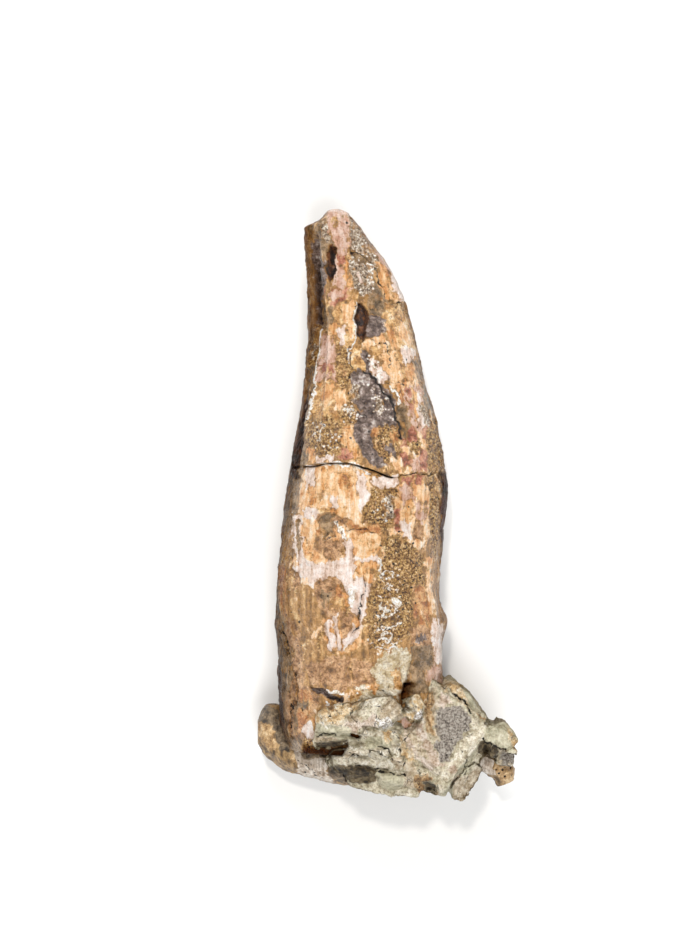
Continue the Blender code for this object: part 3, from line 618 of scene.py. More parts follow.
# Ridges of the stone's upper side, and grooves where the height is negative: height in mm,
# half width in px and picture places.
STONE_SWELLS = (
    (-1.5, 8, ((304, 735), (311, 714), (322, 704), (339, 698), (357, 693), (375, 689), (392, 691),
        (405, 699))),
    (0.9, 7, ((317, 704), (321, 712), (330, 722))),
    (1.1, 8, ((361, 696), (350, 708), (337, 721))),
    (1.2, 9, ((388, 695), (374, 705), (362, 716))),
    (-0.8, 5, ((329, 702), (333, 712), (338, 718))),
    (-0.7, 4, ((364, 702), (356, 711), (351, 721))),
    (-0.8, 7, ((396, 700), (388, 712))),
    (-0.8, 3, ((315, 735), (333, 735), (346, 735), (357, 738))),
    (-1.8, 4, ((353, 735), (358, 738))),
    (-1.2, 4, ((351, 744), (361, 744))),
    (-0.6, 3, ((360, 745), (372, 742), (384, 749), (391, 755))),
    (0.7, 5, ((360, 731), (372, 735), (380, 743))),
    (0.5, 4, ((384, 732), (396, 738), (402, 746))),
    (0.6, 4, ((336, 757), (350, 751), (366, 753), (384, 757), (401, 761))),
    (-0.6, 3, ((352, 757), (366, 757), (378, 762))),
    (-0.9, 4, ((354, 766), (372, 769), (388, 771), (404, 774))),
    (1.3, 11, ((386, 781), (396, 781))),
    (0.9, 4, ((399, 742), (412, 752), (424, 762), (438, 773))),
    (0.5, 4, ((484, 737), (472, 750), (461, 763), (448, 785))),
    (-1.6, 6, ((402, 704), (401, 694), (406, 686), (413, 684))),
    (-1.0, 4, ((404, 707), (413, 712))),
    (1.0, 6, ((414, 699), (417, 704), (418, 715))),
    (-0.9, 7, ((430, 692), (430, 716), (435, 734))),
    (0.6, 6, ((407, 718), (411, 718))),
    (-1.6, 6, ((428, 786), (434, 790))),
    (0.6, 6, ((410, 768), (414, 778))),
    (-0.5, 3, ((450, 694), (458, 698), (468, 705), (474, 714))),
    (0.5, 4, ((458, 688), (470, 698), (475, 708))),
)
# Broken flats of the stone: picture places of the corners, and three places with their
# heights in mm that the flat goes through.
STONE_FLATS = (
    (((313, 742), (349, 740), (349, 748), (342, 757), (320, 757)), ((316, 742, 21.2),
        (347, 741, 21.2), (332, 756, 17.4))),
    (((485, 738), (473, 751), (462, 764), (449, 786), (452, 802), (486, 794), (490, 752)),
        ((485, 738, 18.2), (462, 764, 18.9), (480, 790, 13.4))),
    (((483, 738), (489, 719), (502, 713), (512, 721), (518, 734), (521, 744), (518, 751),
        (499, 751)), ((484, 737, 18.4), (502, 720, 17.2), (513, 747, 16.9))),
    (((404, 742), (426, 712), (468, 706), (478, 722), (483, 736), (460, 762), (448, 782),
        (438, 772)), ((410, 742, 20.3), (470, 712, 18.3), (448, 780, 19.2))),
    (((362, 726), (380, 728), (382, 744), (366, 744)), ((362, 728, 22.2), (380, 729, 21.6),
        (372, 744, 20.9))),
    (((382, 728), (398, 731), (404, 746), (392, 748)), ((382, 730, 21.2), (398, 733, 21.8),
        (398, 748, 20.4))),
)
# Areas of the stone with white crumbs and painted glints.
STONE_CRUMBED_AND_GLINTING = (
    ((372, 716), (394, 712), (394, 730), (374, 728)),
    ((310, 716), (330, 716), (330, 730), (310, 730)),
    ((322, 700), (338, 700), (338, 712), (324, 714)),
    ((348, 738), (362, 738), (362, 748), (350, 748)),
    ((396, 696), (412, 696), (412, 716), (398, 714)),
    ((340, 742), (372, 740), (372, 764), (342, 764)),
)
# Cracks and bedding lines of the stone: half width in px, depth in mm, darkness, places. The
# short wide one under the upper ledge is painted shade in a deep recess.
STONE_CRACKS = (
    (0.9, 0.50, 0.85, ((449, 692), (457, 697), (466, 702), (470, 708), (473, 714))),
    (0.8, 0.40, 0.85, ((317, 736), (329, 734), (336, 736))),
    (1.6, 0.60, 0.90, ((353, 735), (358, 738))),
    (0.7, 0.30, 0.70, ((356, 766), (372, 769), (386, 770))),
    (0.8, 0.40, 0.75, ((352, 757), (366, 756), (372, 752), (386, 757), (400, 762))),
    (0.8, 0.45, 0.80, ((380, 748), (388, 750), (391, 754))),
    (0.6, 0.30, 0.70, ((352, 704), (352, 716), (356, 722))),
    (0.7, 0.30, 0.60, ((402, 771), (406, 765), (404, 755), (398, 747))),
    (0.8, 0.40, 0.80, ((378, 772), (390, 774), (404, 776))),
    (0.8, 0.50, 0.85, ((482, 736), (486, 742), (496, 749), (510, 752))),
    (0.7, 0.30, 0.60, ((461, 751), (466, 760), (464, 770))),
)

# Tints of the bones, in the order of their paint channels. The dark tint is painted shade,
# mostly in the gaps under the tooth and the stone and under the chip.
BONE_TINTS = ("pink", "ochre", "dark")
BONE_PATCHES = (
    ("dark", ((256, 706), (268, 704), (282, 714), (284, 730), (272, 730), (258, 726))),
    ("ochre", ((256, 724), (272, 722), (280, 740), (276, 752), (262, 746))),
    ("dark", ((276, 722), (290, 740), (292, 752), (282, 752), (274, 738))),
    ("ochre", ((290, 750), (300, 754), (300, 768), (290, 762))),
    ("pink", ((296, 752), (330, 752), (329, 770), (334, 786), (310, 784), (296, 768))),
    # painted shade in the gap under the tooth
    ("dark", ((298, 750), (330, 750), (328, 757), (306, 758))),
    # painted shade under the low ledge
    ("dark", ((328, 760), (352, 764), (376, 776), (372, 786), (340, 783), (330, 774))),
    ("pink", ((462, 752), (494, 756), (496, 774), (474, 777), (462, 770))),
    # painted shade under the chip
    ("dark", ((480, 742), (500, 748), (500, 760), (484, 756))),
    ("ochre", ((496, 750), (516, 750), (519, 776), (517, 792), (500, 782), (495, 766))),
)
BONE_CRACKS = (
    (0.5, 0.20, 0.7, ((297, 761), (304, 762), (311, 771), (322, 780))),
    (0.4, 0.12, 0.5, ((300, 764), (330, 768))),
    (0.4, 0.12, 0.5, ((304, 772), (332, 773))),
    (0.4, 0.12, 0.5, ((314, 777), (334, 779))),
    (0.7, 0.30, 0.7, ((282, 712), (284, 730), (290, 742), (297, 751))),
)


def linear(hex_colour):
    """Linear RGBA of an sRGB hex colour."""
    parts = [int(hex_colour[i : i + 2], 16) / 255 for i in (1, 3, 5)]
    return (*(c / 12.92 if c <= 0.04045 else ((c + 0.055) / 1.055) ** 2.4 for c in parts), 1.0)


def length(name, description, mm):
    """A size property, given in mm and kept in metres."""
    return bpy.props.FloatProperty(
        name=name, description=description, default=mm * MM, min=0, unit="LENGTH", precision=6
    )


def colour(name, description, hex_colour):
    """A colour property, given as sRGB hex."""
    return bpy.props.FloatVectorProperty(
        name=name, description=description, default=linear(hex_colour), size=4, subtype="COLOR"
    )


class FossilSizes(bpy.types.PropertyGroup):
    enamel_step: length("Enamel step", "Height of the enamel over what it flaked from", 0.18)
    fibre_height: length("Fibre height", "Height of the fine ribs along the tooth", 0.07)
    crust_height: length("Crust height", "Height of the grains of the iron crust", 0.17)
    broken_height: length("Broken height", "Height of the flats of broken places", 0.11)
    pit_depth: length("Pit depth", "Depth of the small pits", 0.22)
    break_gap: length("Break gap", "Width of the gap at the mended break", 0.42)
    break_depth: length("Break depth", "Depth of the gap at the mended break", 0.9)
    stone_grain: length("Stone grain", "Height of the stone's rough grain", 0.13)


class FossilColours(bpy.types.PropertyGroup):
    root: colour("Root", "Tan cement of the root", "#B2844A")
    enamel: colour("Enamel", "Cream enamel", "#F2C48E")
    ochre: colour("Ochre", "Yellow iron stain", "#D9A766")
    crust: colour("Crust", "Brown iron crust", "#AE8444")
    dentine: colour("Dentine", "Bare dentine, stained dark", "#7C6A60")
    stone: colour("Stone", "Grey-green mudstone", "#D6CFB6")
    bone: colour("Bone", "Brown bone", "#9A7A4A")
    floor: colour("Floor", "Pale floor", "#F4F4F3")


def curve_through(at, places, values):
    """Values between the places, on cubics that share their slope at each place."""
    at = np.asarray(at, float)
    places = np.asarray(places, float)
    values = np.asarray(values, float)
    slopes = np.gradient(values, places)
    left = np.clip(np.searchsorted(places, at) - 1, 0, len(places) - 2)
    span = places[left + 1] - places[left]
    t = np.clip((at - places[left]) / span, 0, 1)
    return (
        values[left] * (2 * t**3 - 3 * t**2 + 1)
        + slopes[left] * span * (t**3 - 2 * t**2 + t)
        + values[left + 1] * (3 * t**2 - 2 * t**3)
        + slopes[left + 1] * span * (t**3 - t**2)
    )


def smooth_step(value, low, high):
    """0 below low, 1 above high, and 3t^2 - 2t^3 between."""
    t = np.clip((value - low) / (high - low), 0, 1)
    return t * t * (3 - 2 * t)


def mixed_corner(cell, seed):
    """Whole random number of each cell corner, the same on every run."""
    mixed = cell[..., 0] * 374761393 + cell[..., 1] * 668265263 + cell[..., 2] * 974634777
    mixed = (mixed + seed * 1442695041) & 0x7FFFFFFF
    return ((mixed ^ (mixed >> 13)) * 1274126177) & 0x7FFFFFFF


def gradient_noise(points, seed):
    """Smooth noise from about -1 to 1: each cell corner has a random slope, and the eight
    slopes are blended across the cell."""
    cell = np.floor(points).astype(np.int64)
    inside = points - cell
    fade = inside**3 * (inside * (inside * 6 - 15) + 10)
    total = np.zeros(points.shape[:-1])
    for corner in product((0, 1), repeat=3):
        mixed = mixed_corner(cell + corner, seed)
        turn = mixed % 628 / 100.0
        rise = (mixed >> 10) % 200 / 100.0 - 1.0
        flat = np.sqrt(1 - rise**2)
        slope = np.stack([flat * np.cos(turn), flat * np.sin(turn), rise], axis=-1)
        share = np.prod(np.where(corner, fade, 1 - fade), axis=-1)
        total += share * np.sum(slope * (inside - corner), axis=-1)
    return total * 1.6


def nearest_spot(points, seed):
    """Distance to the nearest random spot, of which each cell has one, that spot's random
    share from 0 to 1, and the height of its flat, which is level with the share less 0.5 at
    the spot and has a random tilt."""
    cell = np.floor(points).astype(np.int64)
    nearest = np.full(points.shape[:-1], 9.0)
    share = np.zeros(points.shape[:-1])
    height = np.zeros(points.shape[:-1])
    for corner in product((-1, 0, 1), repeat=3):
        near = cell + corner
        mixed = mixed_corner(near, seed)
        jitter = np.stack([mixed % 97, (mixed >> 8) % 97, (mixed >> 16) % 97], axis=-1) / 97.0
        away = points - near - jitter
        gap = np.linalg.norm(away, axis=-1)
        chance = (mixed >> 5) % 101 / 100.0
        tilt = np.stack([(mixed >> 3) % 89, (mixed >> 11) % 89, (mixed >> 17) % 89], axis=-1)
        flat = chance - 0.5 + np.sum(away * (tilt / 44.0 - 1), axis=-1)
        closer = gap < nearest
        nearest = np.where(closer, gap, nearest)
        share = np.where(closer, chance, share)
        height = np.where(closer, flat, height)
    return nearest, share, height


def relief(points, layers, seed):
    """Sum of noise layers, each (bump size, height) in the points' own units."""
    return sum(
        height * gradient_noise(points / size, seed + i)
        for i, (size, height) in enumerate(layers)
    )


def seen_places(points):
    """Picture places of points in mm, through the camera that looks straight down."""
    scale = CAMERA_REACH / (CAMERA_PLACE[2] - points[..., 2]) / PX
    right = PICTURE[0] / 2 + (points[..., 0] - CAMERA_PLACE[0]) * scale
    down = PICTURE[1] / 2 - (points[..., 1] - CAMERA_PLACE[1]) * scale
    return np.stack([right, down], axis=-1)


def off_line(places, line):
    """Distance of picture places from a line through the given points, in px."""
    line = np.array(line, float)
    nearest = np.full(places.shape[:-1], np.inf)
    for start, end in zip(line, line[1:]):
        along = end - start
        from_start = places - start
        share = np.clip(from_start @ along / (along @ along), 0, 1)
        gap = from_start - share[..., None] * along
        nearest = np.minimum(nearest, np.sum(gap**2, axis=-1))
    return np.sqrt(nearest)


def within(places, corners, margin=6.0):
    """Distance of picture places inside a polygon's edge in px, negative outside it. It
    isn't worked out farther off than the margin, where it is -margin."""
    corners = np.array(corners, float)
    low, high = corners.min(axis=0) - margin, corners.max(axis=0) + margin
    close = np.all((places > low) & (places < high), axis=-1)
    found = np.full(places.shape[:-1], -margin)
    near = places[close]
    if not len(near):
        return found
    crossed = np.zeros(len(near), bool)
    for start, end in zip(corners, np.roll(corners, -1, axis=0)):
        if start[1] == end[1]:
            continue
        spans = (start[1] > near[:, 1]) != (end[1] > near[:, 1])
        at = start[0] + (near[:, 1] - start[1]) / (end[1] - start[1]) * (end[0] - start[0])
        crossed ^= spans & (near[:, 0] < at)
    edge = off_line(near, np.vstack([corners, corners[:1]]))
    found[close] = np.maximum(np.where(crossed, edge, -edge), -margin)
    return found


def wandered(points, seed):
    """Picture places of points, moved by noise so that outlines drawn on them are ragged."""
    shift = [relief(points, WANDER, seed + 10 * i) for i in range(2)]
    return seen_places(points) + np.stack(shift, axis=-1)


def patch_share(places, corners, shown, softer=1.0):
    """Share of one painted patch, whose edge is softer the larger it is, and which fades
    where the surface isn't shown."""
    spread = np.ptp(np.array(corners, float), axis=0)
    soft = softer * np.clip(0.09 * math.sqrt(spread[0] * spread[1]), 1.0, 2.4)
    return smooth_step(within(places, corners), -soft, soft) * shown


def painted(names, places, patches, shown):
    """Amount of each named paint, where each patch covers what is under it."""
    amounts = {name: np.zeros(len(places)) for name in names}
    for name, corners in patches:
        cover(amounts, name, patch_share(places, corners, shown))
    return amounts


def cover(amounts, name, share):
    """Paints one more layer over the amounts."""
    for other in amounts:
        amounts[other] *= 1 - share
    amounts[name] += share


def lines_near(places, lines):
    """Depth in mm and darkness from 0 to 1 of cracks, given as half width in px, depth,
    darkness and points: deepest on the line, and gone at twice the half width."""
    depth = np.zeros(len(places))
    dark = np.zeros(len(places))
    for half, deep, darkness, points in lines:
        share = 1 - smooth_step(off_line(places, points), 0.4 * half, 2.0 * half)
        depth = np.maximum(depth, deep * share)
        dark = np.maximum(dark, darkness * share)
    return depth, dark


def swelled(places, swells):
    """Height in mm of rounded ridges and grooves at picture places."""
    rise = np.zeros(len(places))
    for height, half, line in swells:
        rise += height * (1 - smooth_step(off_line(places, line), 0, half))
    return rise


def flattened(points, places, shown):
    """Heights of points on the stone, which inside each broken flat are those of its
    plane."""
    height = points[:, 2].copy()
    for corners, level in STONE_FLATS:
        level = np.array(level, float)
        slope = np.linalg.solve(np.column_stack([level[:, :2], np.ones(3)]), level[:, 2])
        plane = places @ slope[:2] + slope[2]
        share = smooth_step(within(places, corners), -0.7, 0.7) * shown
        share = share * (np.abs(plane - height) < 6.0)
        height += share * (plane - height)
    return height


def tooth_section(angle, y):
    """Middle (x, z) of the tooth's section at y, and the offset from it at an angle in
    degrees: a superellipse between the four edges, less the hollow of the crown."""
    left, right, under, upper = (
        curve_through(y, TOOTH_STATIONS[:, 0], TOOTH_STATIONS[:, i]) for i in range(1, 5)
    )
    turn = np.radians(angle)
    cos, sin = np.cos(turn), np.sin(turn)
    swell = (np.abs(cos) ** SECTION_POWER + np.abs(sin) ** SECTION_POWER) ** (-1 / SECTION_POWER)
    across = np.clip((angle - FRONT_EDGE) / (BACK_EDGE - FRONT_EDGE), 0, 1)
    hollow = curve_through(y, HOLLOW_PLACES, HOLLOW_DEPTHS) * np.sin(np.pi * across**HOLLOW_SKEW)
    middle = np.stack([(left + right) / 2, (under + upper) / 2], axis=-1)
    offset = np.stack(
        [
            ((right - left) / 2 * swell - hollow) * cos,
            ((upper - under) / 2 * swell - hollow) * sin,
        ],
        axis=-1,
    )
    return middle, offset


def break_place(x):
    """Place of the mended break along Y at each x: the break line, a little ragged."""
    ragged = 0.15 * gradient_noise(np.stack([x / 0.8, 0 * x, 0 * x], axis=-1), 81)
    return np.interp(x, BREAK_LINE[:, 0], BREAK_LINE[:, 1]) + ragged


def tooth_skin(straight, shrink, angle):
    """The tooth's plain surface at places along it, angles round it in degrees and a
    shrinking toward the middle. The places are straightened, so that BREAK_MIDDLE is the
    whole break, and its shift fades away from it on a bell curve. Returns the points, the
    directions outward and the distance from the break, which is positive on the crown."""
    shape = (len(straight), len(angle))
    angle = np.broadcast_to(angle, shape)
    straight = np.broadcast_to(straight[:, None], shape)
    shrink = np.broadcast_to(shrink[:, None], shape)
    middle, offset = tooth_section(angle, straight)
    x = middle[..., 0] + offset[..., 0] * shrink
    share = np.exp(-(((straight - BREAK_MIDDLE) / BREAK_BEND) ** 2))
    y = straight + (break_place(x) - BREAK_MIDDLE) * share
    middle, offset = tooth_section(angle, y)
    outward = offset / np.linalg.norm(offset, axis=-1, keepdims=True)
    flat = middle + offset * shrink[..., None]
    plain = np.stack([flat[..., 0], y, flat[..., 1]], axis=-1)
    outward = np.stack([outward[..., 0], 0 * y, outward[..., 1]], axis=-1)
    on_top = np.clip((plain[..., 2] - 10.0) / 4.0, 0, 1)
    from_break = straight - BREAK_MIDDLE
    side = np.where(straight[:, :1].mean() > BREAK_MIDDLE, 1.0, -1.0)
    on_top = on_top * (1 - smooth_step(plain[..., 0], -0.5, 2.5))
    step = side * STEP_HEIGHT * np.exp(-np.abs(from_break) / STEP_REACH) * on_top
    rise = (relief(plain, TOOTH_RELIEF, 5) + step) * shrink
    return plain + outward * rise[..., None], outward, from_break


def crown_rows(rows):
    """Straightened places of the crown's rows and their shrinking: close together at the
    break, and closing on a quarter ellipse at the tip."""
    share = np.linspace(0, 1, rows)
    body = BREAK_MIDDLE + (TIP_END - TIP_ROUNDING - BREAK_MIDDLE) * (0.6 * share + 0.4 * share**2)
    closing = np.linspace(0, 0.995, 10)[1:]
    places = np.concatenate([body, TIP_END + TIP_ROUNDING * (closing - 1)])
    return places, np.concatenate([np.ones(rows), np.sqrt(1 - closing**2)])


def root_rows(rows):
    """Straightened places of the root's rows and their shrinking: its broken end is
    dished, and the rows are close together at the break."""
    cap = np.linspace(0.03, 0.985, 14)
    share = np.linspace(0, 1, rows)
    body = ROOT_END + (BREAK_MIDDLE - ROOT_END) * (1.4 * share - 0.4 * share**2)
    places = np.concatenate([ROOT_END + PULP_DEPTH * (1 - cap**2), body])
    return places, np.concatenate([cap, np.ones(rows)])


def tooth_paint(points, shown):
    """Amount of each mineral at the tooth's points. Places that the patches leave free,
    and the side that isn't seen, get blotches of the same minerals from noise."""
    places = wandered(points, 31)
    drawn = places.copy()
    drawn[:, 1] += 3.5 * gradient_noise(points / (0.45, 4.0, 0.45), 36)
    amounts = {name: np.zeros(len(points)) for name in TOOTH_MINERALS}
    along = points / (1.0, 2.2, 1.0)
    for name, size, level, seed in (
        ("brown", 4.0, 0.10, 91),
        ("ochre", 2.2, 0.26, 92),
        ("crust", 3.0, 0.24, 93),
        ("cream", 3.2, 0.36, 94),
        ("dentine", 2.4, 0.62, 95),
    ):
        field = gradient_noise(along / size, seed)
        field = field + 0.4 * gradient_noise(along / (size * 0.3), seed + 10)
        cover(amounts, name, smooth_step(field, level, level + 0.12) * (0.85 - 0.6 * shown))
    for name, corners in TOOTH_PATCHES:
        cover(amounts, name, THIN_MINERALS.get(name, 1) * patch_share(drawn, corners, shown))
    for name, size, level, seed in (
        ("ochre", 1.5, 0.40, 101),
        ("cream", 1.1, 0.50, 102),
        ("crust", 1.3, 0.45, 103),
        ("brown", 0.8, 0.50, 104),
        ("umber", 0.6, 0.60, 105),
    ):
        field = gradient_noise(along / size, seed)
        field = field + 0.5 * gradient_noise(along / (size * 0.4), seed + 10)
        taken = amounts["dentine"] + amounts["clay"] + amounts["pale"] + 0.6 * amounts["cream"]
        free = 1 - np.clip(taken, 0, 1)
        cover(amounts, name, 0.6 * smooth_step(field, level, level + 0.25) * free)
    rims = np.zeros(len(points))
    for half, line in TOOTH_RIMS:
        rims = np.maximum(rims, 1 - smooth_step(off_line(places, line), 0.6 * half, 1.6 * half))
    cover(amounts, "crumb_and_glint", rims * shown)
    return amounts, places


def area_share(places, areas, soft):
    """Share from 0 to 1 of being inside any of the areas, whose edges are soft."""
    share = np.zeros(len(places))
    for corners in areas:
        share = np.maximum(share, smooth_step(within(places, corners), -soft, soft))
    return share


def made_tooth_part(sizes, straight, shrink):
    """Skin of the crown or the root: the plain surface moved outward by the relief of each
    mineral, and inward at cavities, flakes, cracks, pits and the mended break."""
    angle = np.concatenate([np.linspace(-8, 186, 234), np.linspace(186, 352, 74)[1:-1]])
    plain, outward, from_break = tooth_skin(straight, shrink, angle)
    points = plain.reshape(-1, 3)
    out = outward.reshape(-1, 3)
    from_break = from_break.ravel()
    shown = smooth_step(out[:, 2], -0.05, 0.12)
    shown = shown * smooth_step(points[:, 1], ROOT_END - 1.0, ROOT_END + 0.2)
    amounts, places = tooth_paint(points, shown)
    enamel = amounts["cream"] + amounts["pale"] + amounts["pink"]
    rough = amounts["crust"] + 0.8 * amounts["grey"] + 0.5 * amounts["dentine"]
    rough = rough + 0.4 * amounts["clay"] + 0.5 * amounts["brown"] + 0.4 * amounts["ochre"]
    rough = np.clip(rough, 0, 1)

    fibres = gradient_noise(points / (0.55, 5.0, 0.55), 61)
    fibres = fibres + 0.6 * gradient_noise(points / (0.3, 1.8, 0.3), 62)
    grains = gradient_noise(points / 0.75, 63) + 0.8 * gradient_noise(points / 0.36, 64)
    lumps = gradient_noise(points / 1.7, 60)
    rise = sizes.enamel_step / MM * (enamel + 0.6 * amounts["ochre"] + 1.5 * amounts["crumb_and_glint"])
    rise = rise + sizes.fibre_height / MM * fibres * (1 - 0.7 * rough)
    flats = nearest_spot(points / 0.9, 78)[2] + 1.6 * nearest_spot(points / 2.3, 79)[2]
    rise = rise + sizes.crust_height / MM * (grains * (0.2 + 0.6 * rough) + 0.3 * lumps)
    broken = rough * 0.5 + amounts["dentine"] + amounts["grey"]
    rise = rise + sizes.broken_height / MM * flats * broken
    rise = rise + swelled(seen_places(points), TOOTH_SWELLS) * shown

    specked = area_share(places, SPECKED, 1.5) * shown
    away, share = nearest_spot(points / 1.5, 71)[:2]
    pits = (1 - smooth_step(away, 0.07, 0.19)) * (share < 0.2 + 0.65 * specked)
    rise = rise - sizes.pit_depth / MM * pits

    crumbed_and_glinting = area_share(places, CRUMBED_AND_GLINTING, 1.5) * shown
    away, share = nearest_spot(points / 0.62, 72)[:2]
    crumbs_and_glints = (1 - smooth_step(away, 0.24, 0.46)) * (share < 0.5) * crumbed_and_glinting
    rise = rise + 0.12 * crumbs_and_glints
    cover(amounts, "crumb_and_glint", crumbs_and_glints)

    sunk = np.zeros(len(points))
    for depth, wall, mineral, corners in TOOTH_HOLLOWS:
        inside = within(places, corners)
        sunk = np.maximum(sunk, depth * smooth_step(inside, -0.3 * wall, 1.4 * wall))
        cover(amounts, mineral, smooth_step(inside, -0.2, 0.8) * shown)
    for depth, wall, corners in TOOTH_FLAKES:
        sunk = np.maximum(sunk, depth * smooth_step(within(places, corners), -0.5 * wall, wall))
    crack_depth, dark = lines_near(places, TOOTH_CRACKS)

    ends = smooth_step(points[:, 0], -12.6, -10.6) * (1 - smooth_step(points[:, 0], 0.4, 1.6))
    width = sizes.break_gap / MM * np.clip(0.75 + 0.8 * gradient_noise(points / 2.2, 82), 0.1, 1.6)
    gap = (1 - smooth_step(-from_break, 0.35 * width, width)) * ends * (from_break <= 0)
    gap = gap * (straight.mean() < BREAK_MIDDLE)
    # The gap of the mended break is painted dark as the shadow under the crown's edge.
    dark = np.maximum(dark, gap)
    rise = rise - (np.maximum(sunk, crack_depth) + sizes.break_depth / MM * gap) * shown

    moved = points + out * (rise * np.repeat(shrink, len(angle)))[:, None]
    moved[:, 2] = np.maximum(moved[:, 2], 0)
    dark = np.maximum(dark * shown, 0.8 * pits)
    # Painted shade: the flanks are darker the steeper they turn away from the light above, and the listed
    # areas darker still.
    shade_share = 0.75 * (1 - smooth_step(out[:, 2], -0.15, 0.60))
    for share, corners in SHADED_AREAS:
        shade_share = shade_share + share * shown * smooth_step(within(places, corners), -3.0, 3.0)
    channels = {
        f"minerals_{i // 3}": np.stack(
            [amounts[name] for name in TOOTH_MINERALS[i : i + 3]], axis=-1
        )
        for i in range(0, len(TOOTH_MINERALS), 3)
    }
    # The surface channel carries crack darkness, roughness and painted shade.
    channels["surface"] = np.stack([dark, rough, np.minimum(shade_share, 1)], axis=-1)
    channels["flecks"] = np.stack([crumbed_and_glinting, specked, rough], axis=-1)
    return moved.reshape(plain.shape), channels


def ringed_faces(count, around):
    """Faces of a skin on rings of points, which turns outward where the rings turn from +X
    to +Z and go along +Y. Each end is a fan on one more point."""
    here = np.arange(count * around).reshape(count, around)
    after = np.roll(here, -1, axis=1)
    quads = np.stack([here[:-1], here[1:], after[1:], after[:-1]], axis=-1).reshape(-1, 4)
    ends = count * around + np.arange(2)
    first = np.stack([np.full(around, ends[0]), here[0], after[0]], axis=-1)
    last = np.stack([np.full(around, ends[1]), after[-1], here[-1]], axis=-1)
    return quads.tolist() + first.tolist() + last.tolist()


def kept_in_box(points):
    """Points in mm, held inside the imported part's box."""
    low, high = np.array(CAD_BOX) / MM
    return np.clip(points, low, high)


def piece_of(name, points, faces, channels, material, node):
    """Piece of points in mm, with its paint channels as colour attributes, that stands for
    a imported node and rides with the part."""
    mesh = bpy.data.meshes.new(name)
    mesh.from_pydata((kept_in_box(points) * MM).tolist(), [], faces)
    for channel, amounts in channels.items():
        attribute = mesh.attributes.new(channel, "FLOAT_COLOR", "POINT")
        rgba = np.column_stack([amounts, np.ones(len(amounts))])
        attribute.data.foreach_set("color", rgba.astype(np.float32).ravel())
    mesh.shade_smooth()
    mesh.materials.append(material)
    piece = bpy.data.objects.new(name, mesh)
    bpy.context.scene.collection.objects.link(piece)
    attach(piece, "root")
    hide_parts(node)
    return piece


def outward_faces(piece):
    """Turns every face of a closed piece outward."""
    work = bmesh.new()
    work.from_mesh(piece.data)
    bmesh.ops.recalc_face_normals(work, faces=work.faces)
    work.to_mesh(piece.data)
    work.free()


def with_ends(rings, channels):
    """Flat list of the rings' points with the two end points, and the channels to match."""
    points = np.vstack([rings.reshape(-1, 3), rings[0].mean(axis=0), rings[-1].mean(axis=0)])
    around = rings.shape[1]
    longer = {
        name: np.vstack([amounts, amounts[:around].mean(axis=0), amounts[-around:].mean(axis=0)])
        for name, amounts in channels.items()
    }
    return points, longer


def rod_rings(path, seed, steps, around):
    """Rings of a rounded rod and the direction outward: an ellipse carried along the path,
    drawn in at both ends, with rough relief."""
    share = np.linspace(0, 1, len(path))
    at = np.linspace(0, 1, steps)
    place = np.stack([curve_through(at, share, path[:, i]) for i in range(3)], axis=-1)
    ahead = np.gradient(place, axis=0)
    ahead[:, 2] = 0
    ahead /= np.linalg.norm(ahead, axis=-1, keepdims=True)
    aside = np.stack([-ahead[:, 1], ahead[:, 0], ahead[:, 2]], axis=-1)
    half_width = curve_through(at, share, path[:, 3])[:, None, None]
    half_height = curve_through(at, share, path[:, 4])[:, None, None]
    angle = np.linspace(0, 2 * math.pi, around, endpoint=False)[None, :, None]
    offset = (
        aside[:, None, :] * np.cos(angle) * half_width
        + np.array([0, 0, 1.0]) * np.sin(angle) * half_height
    )
    rings = place[:, None, :] + offset
    outward = offset / np.linalg.norm(offset, axis=-1, keepdims=True)
    return rings + outward * relief(rings, BONE_RELIEF, seed)[..., None], outward


def made_bone(path, seed, steps, around, pores):
    """Skin of a bone along a path, with fibres along it, cracks, and pores in its ochre
    part."""
    rings, outward = rod_rings(path, seed, steps, around)
    points = rings.reshape(-1, 3)
    out = outward.reshape(-1, 3)
    places = wandered(points, 33)
    shown = smooth_step(out[:, 2], -0.25, 0.05)
    amounts = painted(BONE_TINTS, places, BONE_PATCHES, shown)
    turn = np.tile(np.arange(around), steps) / around * 2 * math.pi
    step = np.repeat(np.arange(steps), around)
    ribs = gradient_noise(np.stack([turn * 6, step / 26.0, 0 * turn], axis=-1), 65)
    rise = 0.07 * ribs + 0.10 * gradient_noise(points / 0.8, 66)
    rise = rise + 0.06 * gradient_noise(points / 0.4, 67)
    depth, dark = lines_near(places, BONE_CRACKS)
    away, share = nearest_spot(points / 0.68, 73)[:2]
    holes = (1 - smooth_step(away, 0.2, 0.38)) * (share < 0.85) * pores * amounts["ochre"]
    rise = rise - depth * shown - 0.3 * holes
    # Painted shade: the steep sides are darkened.
    side = 0.8 * (1 - smooth_step(out[:, 2], -0.1, 0.5))
    moved = points + out * rise[:, None]
    moved[:, 2] = np.maximum(moved[:, 2], 0)
    channels = {
        "tints_0": np.stack([amounts[name] for name in BONE_TINTS], axis=-1),
        "surface": np.stack(
            [np.maximum(dark * shown, holes), 0.6 - 0.4 * amounts["pink"], side], axis=-1
        ),
        "flecks": np.stack([0 * dark, amounts["ochre"] * pores, 0.4 + 0 * dark], axis=-1),
    }
    return moved.reshape(rings.shape), channels


def lump_facets(half, seed):
    """Facet normals and distances of a broken lump: the six sides of a block, and random
    planes that chip its edges and corners."""
    rng = np.random.default_rng(seed)
    sides = np.vstack([np.eye(3), -np.eye(3)])
    chips = rng.normal(size=(CHIPPED_CORNERS, 3))
    chips /= np.linalg.norm(chips, axis=1, keepdims=True)
    corner = np.abs(chips) @ np.array(half)
    cut = corner * rng.uniform(0.68, 0.86, CHIPPED_CORNERS)
    return np.vstack([sides, chips]), np.concatenate([np.tile(half, 2), cut])


